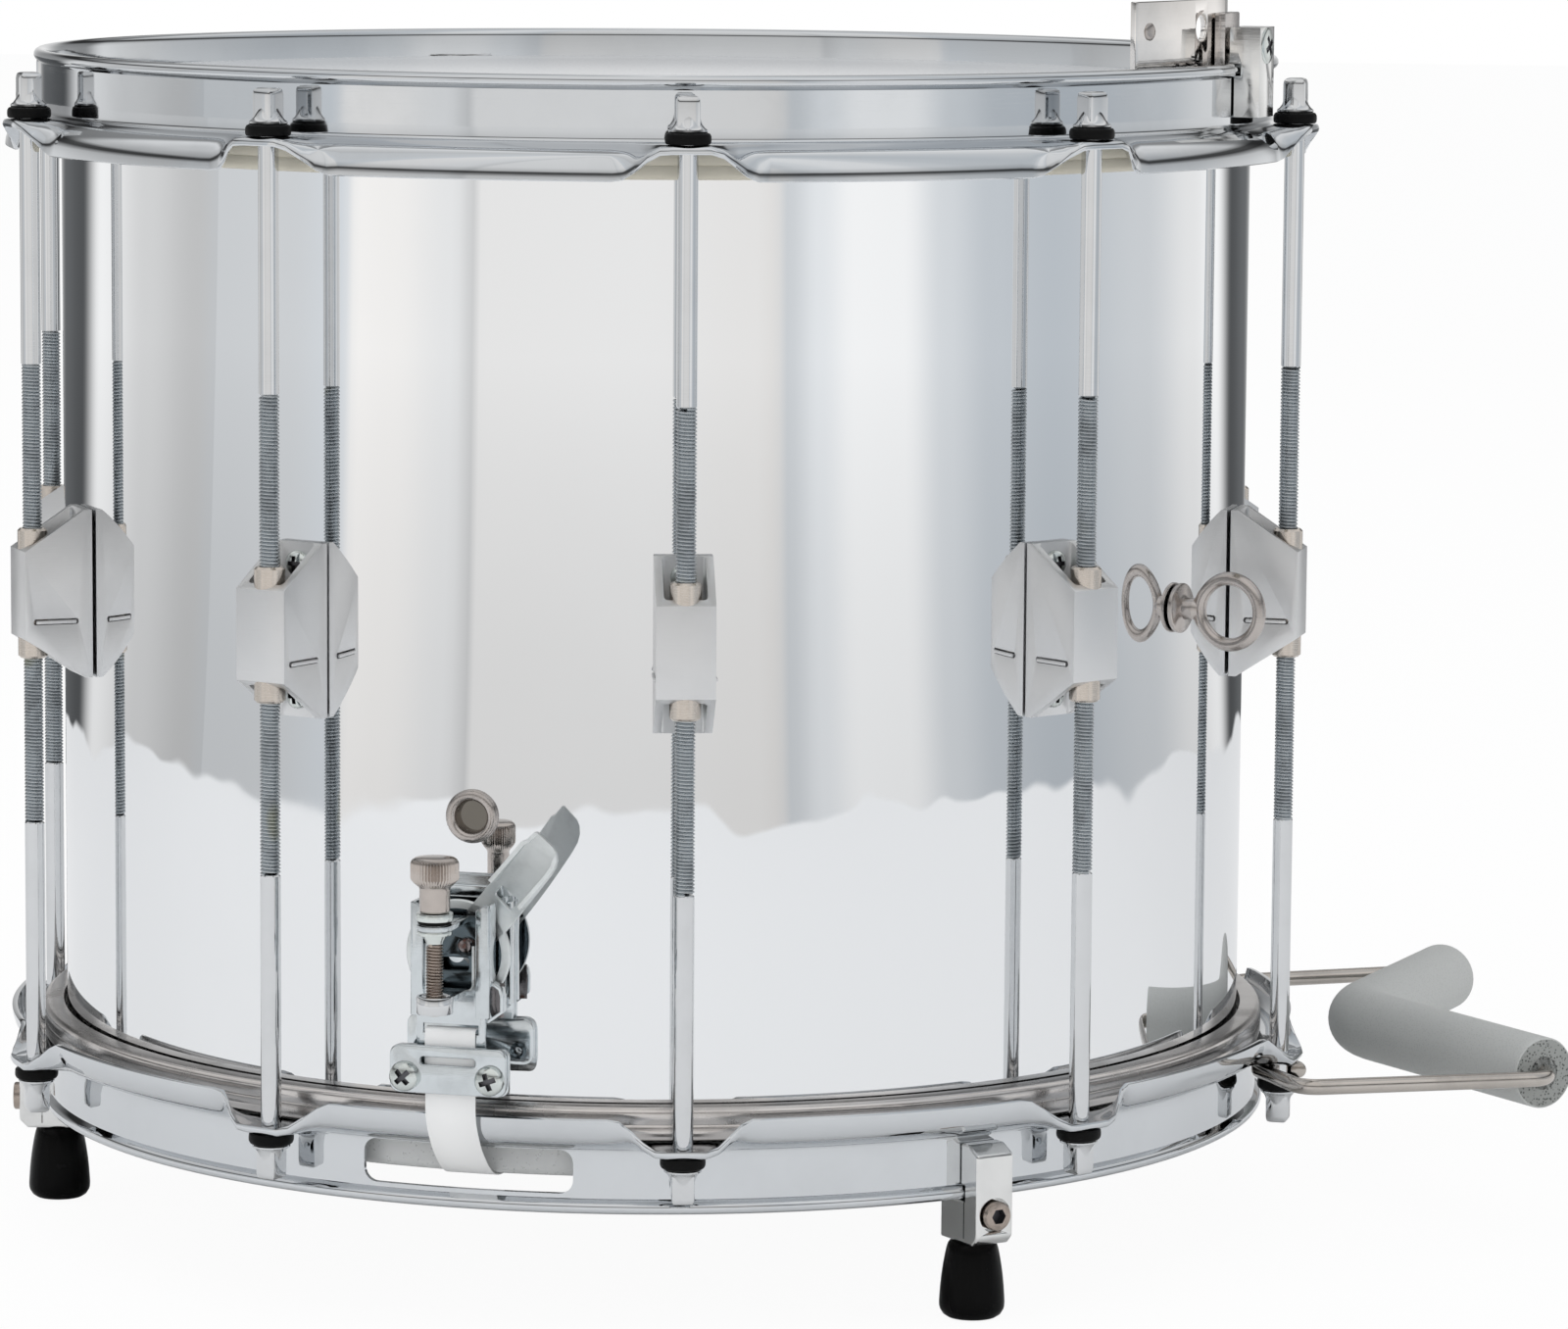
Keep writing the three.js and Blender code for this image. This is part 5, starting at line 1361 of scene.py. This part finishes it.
def socket_screw():
    """A cap screw's head about the x axis, with a six-sided socket. Face material 1 is the socket, for
    painted shade.
    """
    head = spun([
        (0, -9), (3.95, -9), (4.15, -8.8), (4.15, -0.5), (3.9, -0.12), (3.5, 0), (0, 0),
    ], closed=False, steps=40, unit=mm)
    bmesh.ops.recalc_face_normals(head, faces=head.faces)
    socket = round_bar(2.3 * mm, 6 * mm, segments=6)
    for face in socket.faces:
        face.material_index = 1
    return laid(carve(head, socket))


cap_screw = socket_screw()
for number, angle in enumerate(clamp_angles, 1):
    seat = station(angle)
    block = pressed(f"leg_clamp_{number}", 0.6 * mm)
    wider = seat @ Matrix.Diagonal((1, 1.2, 1, 1)) @ seat.inverted()
    bmesh.ops.transform(block, matrix=wider, verts=block.verts)
    bore = laid(round_bar(5 * mm, 6 * mm, segments=40), 192.2 * mm, 0, clamp_screw_level)
    parting = sheet_block(184.9, 185.4, -9, 9, -317.0, -306.0)
    for cutter in (bore, parting):
        bmesh.ops.transform(cutter, matrix=seat, verts=cutter.verts)
    settle(
        carve(block, bore, parting), f"leg_clamp_block_{number}", cast_plate,
        stands_for=[f"leg_clamp_{number}"], slot="cast_clamp", sharp=14,
    )
    settle(
        cap_screw.copy(), f"leg_clamp_screw_{number}", brown_steel, painted_recess_shade,
        place=seat @ Matrix.Translation((194.1 * mm, 0, clamp_screw_level)),
    )
cap_screw.free()

# Feet: glossy black rubber, moulded like a bell. One is under each leg clamp, and the drum stands
# on their flat undersides.
foot_rubber = rubber("foot_rubber", (0.003, 0.003, 0.003), shine=0.1)
for number, angle in enumerate(clamp_angles, 1):
    bm = spun([
        (0, -340.8), (5.6, -340.8), (7.0, -340.5), (8.2, -339.7), (9.0, -338.4), (9.2, -337.6),
        (9.25, -336.4), (9.15, -334.6), (8.95, -331.8), (8.65, -328.8), (8.2, -325.6), (7.7, -322.8),
        (7.3, -320.9), (6.9, -319.7), (6.4, -319.0), (5.8, -318.8), (0, -318.8),
    ], closed=False, steps=56, unit=mm)
    settle(
        bm, f"rubber_foot_{number}", foot_rubber, stands_for=[f"foot_{number}"], slot="rubber",
        place=station(angle) @ Matrix.Translation((180.5 * mm, 0, 0)), sharp=60,
    )

# Sling plate and its clamp: a polished stainless strip curved to the hoop, with a hook hole, held on the
# batter hoop between a cast outer jaw and an inner one by a countersunk screw.
polished_steel = plated(
    "polished_steel", (0.92, 0.89, 0.86), dull=0.12, gloss=0.035, cloud_scale=40, line_scale=90,
    line_depth=0.01, wave=0.05, stain=0.08,
)
sling_seat = station(66.5)
jaw_screw_level = 13.6 * mm
settle(
    pressed("carrying_clamp_outer", 0.4 * mm), "sling_clamp_outer_jaw", cast_plate,
    stands_for=["carrying_clamp_outer"], slot="cast_clamp", sharp=30,
)
inner_jaw = sheet_block(177.2, 180.5, -6.5, 6.5, 1.5, 23.0)
soften(inner_jaw, 0.5 * mm)
stud = spun([(0, 178), (2.5, 178), (2.5, 190), (0, 190)], closed=False, steps=24, unit=mm)
laid(stud, z=jaw_screw_level)
settle(
    merge(inner_jaw, stud), "sling_clamp_inner_jaw", warm_aluminium, stands_for=["carrying_clamp_inner"],
    slot="cast_clamp", place=sling_seat,
)
sling_screw = cross_screw(10.4 * mm, 0.9 * mm, shank=1.2 * mm)
settle(
    sling_screw, "sling_clamp_screw", screw_plate, painted_recess_shade,
    place=sling_seat @ Matrix.Translation((191.0 * mm, 0, jaw_screw_level))
    @ Matrix.Rotation(math.radians(30), 4, "X"),
)


def sling_plate():
    """The strip on its arc round the hoop, with the hook hole near its right end."""
    steps, start, end = 38, 49.5, 68.6
    bm = bmesh.new()
    outline = [(174.9, 6.0), (176.9, 6.0), (176.9, 27.0), (174.9, 27.0)]
    verts = [bm.verts.new((x * mm, 0, z * mm)) for x, z in outline]
    face = bm.faces.new(verts)
    bmesh.ops.spin(
        bm, geom=[face], cent=(0, 0, 0), axis=(0, 0, 1), angle=math.radians(end - start), steps=steps,
    )
    bmesh.ops.recalc_face_normals(bm, faces=bm.faces)
    bmesh.ops.transform(bm, matrix=station(start), verts=bm.verts)
    bmesh.ops.holes_fill(bm, edges=[e for e in bm.edges if e.is_boundary], sides=0)
    hole = laid(round_bar(3.75 * mm, 20 * mm, segments=48))
    hole_place = station(61.6) @ Matrix.Translation((176 * mm, 0, 18.8 * mm))
    bmesh.ops.transform(hole, matrix=hole_place, verts=hole.verts)
    bm = carve(bm, hole)
    soften(bm, 0.3 * mm, angle=50)
    return bm


settle(
    sling_plate(), "sling_plate", polished_steel, stands_for=["carrying_plate"], slot="stainless", sharp=30,
)
rivet = laid(spun([
    (0, -1.2), (2.5, -1.2), (2.5, 0.2), (2.1, 0.55), (1.2, 0.75), (0, 0.8),
], closed=False, steps=28, unit=mm), 176.9 * mm, 0, 18.5 * mm)
settle(
    rivet, "sling_plate_rivet", satin_nickel, stands_for=["carrying_plate"], place=station(51.7),
)

# Knee rest: one bent stainless wire hooked round two key screws under the snare hoop's flange, with a
# tube of light grey foam threaded on it where the player's leg rests.
knee_steel = plated(
    "knee_steel", (0.56, 0.52, 0.48), dull=0.24, gloss=0.13, cloud_scale=60, line_scale=160, line_depth=0.015,
    stain=0.15,
)
wire_thick, rod_thick, clearance = 4.7 * mm, 5.8 * mm, 0.3 * mm
knee_level = -287.6 * mm - clearance - wire_thick / 2
corner_shares = [(1.075, -0.448), (1.518, -0.36), (1.237, 0.16), (1.462, 0.656), (1.0565, 0.538)]
hook_radius = (rod_thick + wire_thick) / 2 + 0.6 * mm


def rounded_route(points, radii, step=4.0):
    """A plan route with its inner corners rounded to the radii, as a list of points."""
    route = [points[0]]
    for before, corner, after, radius in zip(points, points[1:], points[2:], radii):
        back, onward = (before - corner).normalized(), (after - corner).normalized()
        half = back.angle(onward) / 2
        centre = corner + (back + onward).normalized() * radius / math.sin(half)
        begin = corner + back * radius / math.tan(half)
        finish = corner + onward * radius / math.tan(half)
        first, second = begin - centre, finish - centre
        turn = math.atan2(first.x * second.y - first.y * second.x, first.dot(second))
        count = max(3, round(abs(math.degrees(turn)) / step))
        for index in range(count + 1):
            share = turn * index / count
            route.append(centre + Vector((
                first.x * math.cos(share) - first.y * math.sin(share),
                first.x * math.sin(share) + first.y * math.cos(share),
            )))
    return route + [points[-1]]


def swept(route, outline, level, bore=None):
    """The outline swept along a level route, closed at its ends. A bore's end rings are of material 1."""
    bm = bmesh.new()
    loops = []
    for line in (outline, bore or []):
        rows = []
        for index, here in enumerate(route):
            ahead = route[min(index + 1, len(route) - 1)] - route[max(index - 1, 0)]
            side = Vector((-ahead.y, ahead.x)).normalized()
            rows.append([
                bm.verts.new((here.x + side.x * a, here.y + side.y * a, level + b)) for a, b in line
            ])
        loops.append(rows)
    for rows in loops:
        for one, two in zip(rows, rows[1:]):
            for index in range(len(one)):
                after = (index + 1) % len(one)
                bm.faces.new((one[index], one[after], two[after], two[index]))
    for end in (0, -1):
        if bore:
            edges = [
                bm.edges.get((row[index], row[(index + 1) % len(row)]))
                for row in (loops[0][end], loops[1][end]) for index in range(len(row))
            ]
            for face in bmesh.ops.bridge_loops(bm, edges=edges)["faces"]:
                face.material_index = 1
        else:
            bm.faces.new(loops[0][end])
    return bm


def circle_points(radius, count):
    """That many points evenly round a circle about the origin."""
    turns = [2 * math.pi * k / count for k in range(count)]
    return [(radius * math.cos(turn), radius * math.sin(turn)) for turn in turns]


corners = [Vector(share) * shell_outer for share in corner_shares]


def rod_place(number):
    """The plan place of a key screw's axis."""
    angle = math.radians(lug_angles[number])
    return Vector((math.sin(angle), -math.cos(angle))) * rod_circle


def hook(rod, corner, turn):
    """Points round the rod, from the cut end to where the wire leaves for the corner."""
    to_corner = corner - rod
    leaving = math.atan2(to_corner.y, to_corner.x) - turn * math.acos(hook_radius / to_corner.length)
    cut = -turn * math.radians(10)
    sweep = (leaving - cut) % (2 * math.pi) if turn > 0 else -((cut - leaving) % (2 * math.pi))
    count = round(abs(math.degrees(sweep)) / 6)
    return [
        rod + Vector((math.cos(cut + sweep * k / count), math.sin(cut + sweep * k / count))) * hook_radius
        for k in range(count + 1)
    ]


front_hook, back_hook = hook(rod_place(2), corners[0], 1), hook(rod_place(3), corners[4], -1)
middle = rounded_route(
    [front_hook[-1], *corners, back_hook[-1]], [7 * mm, 7 * mm, 25 * mm, 7 * mm, 7 * mm],
)
wire_route = front_hook + middle[1:-1] + back_hook[::-1]
bm = swept(wire_route, circle_points(wire_thick / 2, 18), knee_level)
ends = [f for f in bm.faces if len(f.verts) > 4]
bmesh.ops.bevel(
    bm, geom=[e for f in ends for e in f.edges], offset=0.4 * mm, segments=2, profile=0.5, affect="EDGES",
    material=-1,
)
settle(bm, "knee_wire", knee_steel, stands_for=["knee_rest_wire"], slot="knee_wire", sharp=50)


def foam(name, darker, lighter, cell_size, depth):
    """Closed-cell foam in grey: cells of that many per metre with darker middles, painted shade in the open
    cells where it is cut, and slow clouds.
    """
    finish, tree, body = new_finish(name)
    place = add(tree, "TexCoord", "Object")
    cells = add(tree, "TexVoronoi", "Distance", {"Vector": place, "Scale": cell_size})
    clouds = add(tree, "TexNoise", "Fac", {"Vector": place, "Scale": 55, "Detail": 4})
    relief = reckoned(tree, "MULTIPLY_ADD", cells, 0.4, clouds)
    feed(tree, body, {
        "Roughness": 0.62,
        "Base Color": mixed(tree, ranged(tree, cells, 0.16, 0.42), (*darker, 1), (*lighter, 1)),
        "Normal": add(tree, "Bump", "Normal", {"Height": relief, "Distance": depth, "Strength": 0.6}),
    })
    return finish


foam_radius, bore_radius = 10.6 * mm, 5.5 * mm
seat_shift = bore_radius * math.cos(math.pi / 8) - wire_thick / 2 - clearance
front_turn, apex, back_turn = corners[1:4]
foam_apex = apex - Vector((seat_shift, 0))
foam_points = [
    front_turn + (apex - front_turn).normalized() * 9 * mm, foam_apex,
    back_turn + (apex - back_turn).normalized() * 13 * mm,
]
foam_corners = rounded_route(foam_points, [25 * mm], step=3)
foam_route = []
for one, two in zip(foam_corners, foam_corners[1:]):
    pieces = max(1, round((two - one).length / (3 * mm)))
    foam_route += [one.lerp(two, index / pieces) for index in range(pieces)]
foam_route.append(foam_corners[-1])
bm = swept(foam_route, circle_points(foam_radius, 40), knee_level, circle_points(bore_radius, 28))
rims = [e for e in bm.edges if len(e.link_faces) == 2 and e.calc_face_angle(0) > 1.2]
bmesh.ops.bevel(bm, geom=rims, offset=0.5 * mm, segments=2, profile=0.5, affect="EDGES", material=0)
knee_foam = settle(
    bm, "knee_foam", foam("foam_skin", (0.46, 0.468, 0.455), (0.53, 0.54, 0.525), 1400, 0.04 * mm),
    # The cut ends' near-black cell middles are painted shade in the open cells.
    foam("foam_cut", (0.05, 0.055, 0.05), (0.33, 0.34, 0.325), 1050, 0.2 * mm),
    stands_for=["knee_rest_foam"], slot="foam", sharp=70,
)
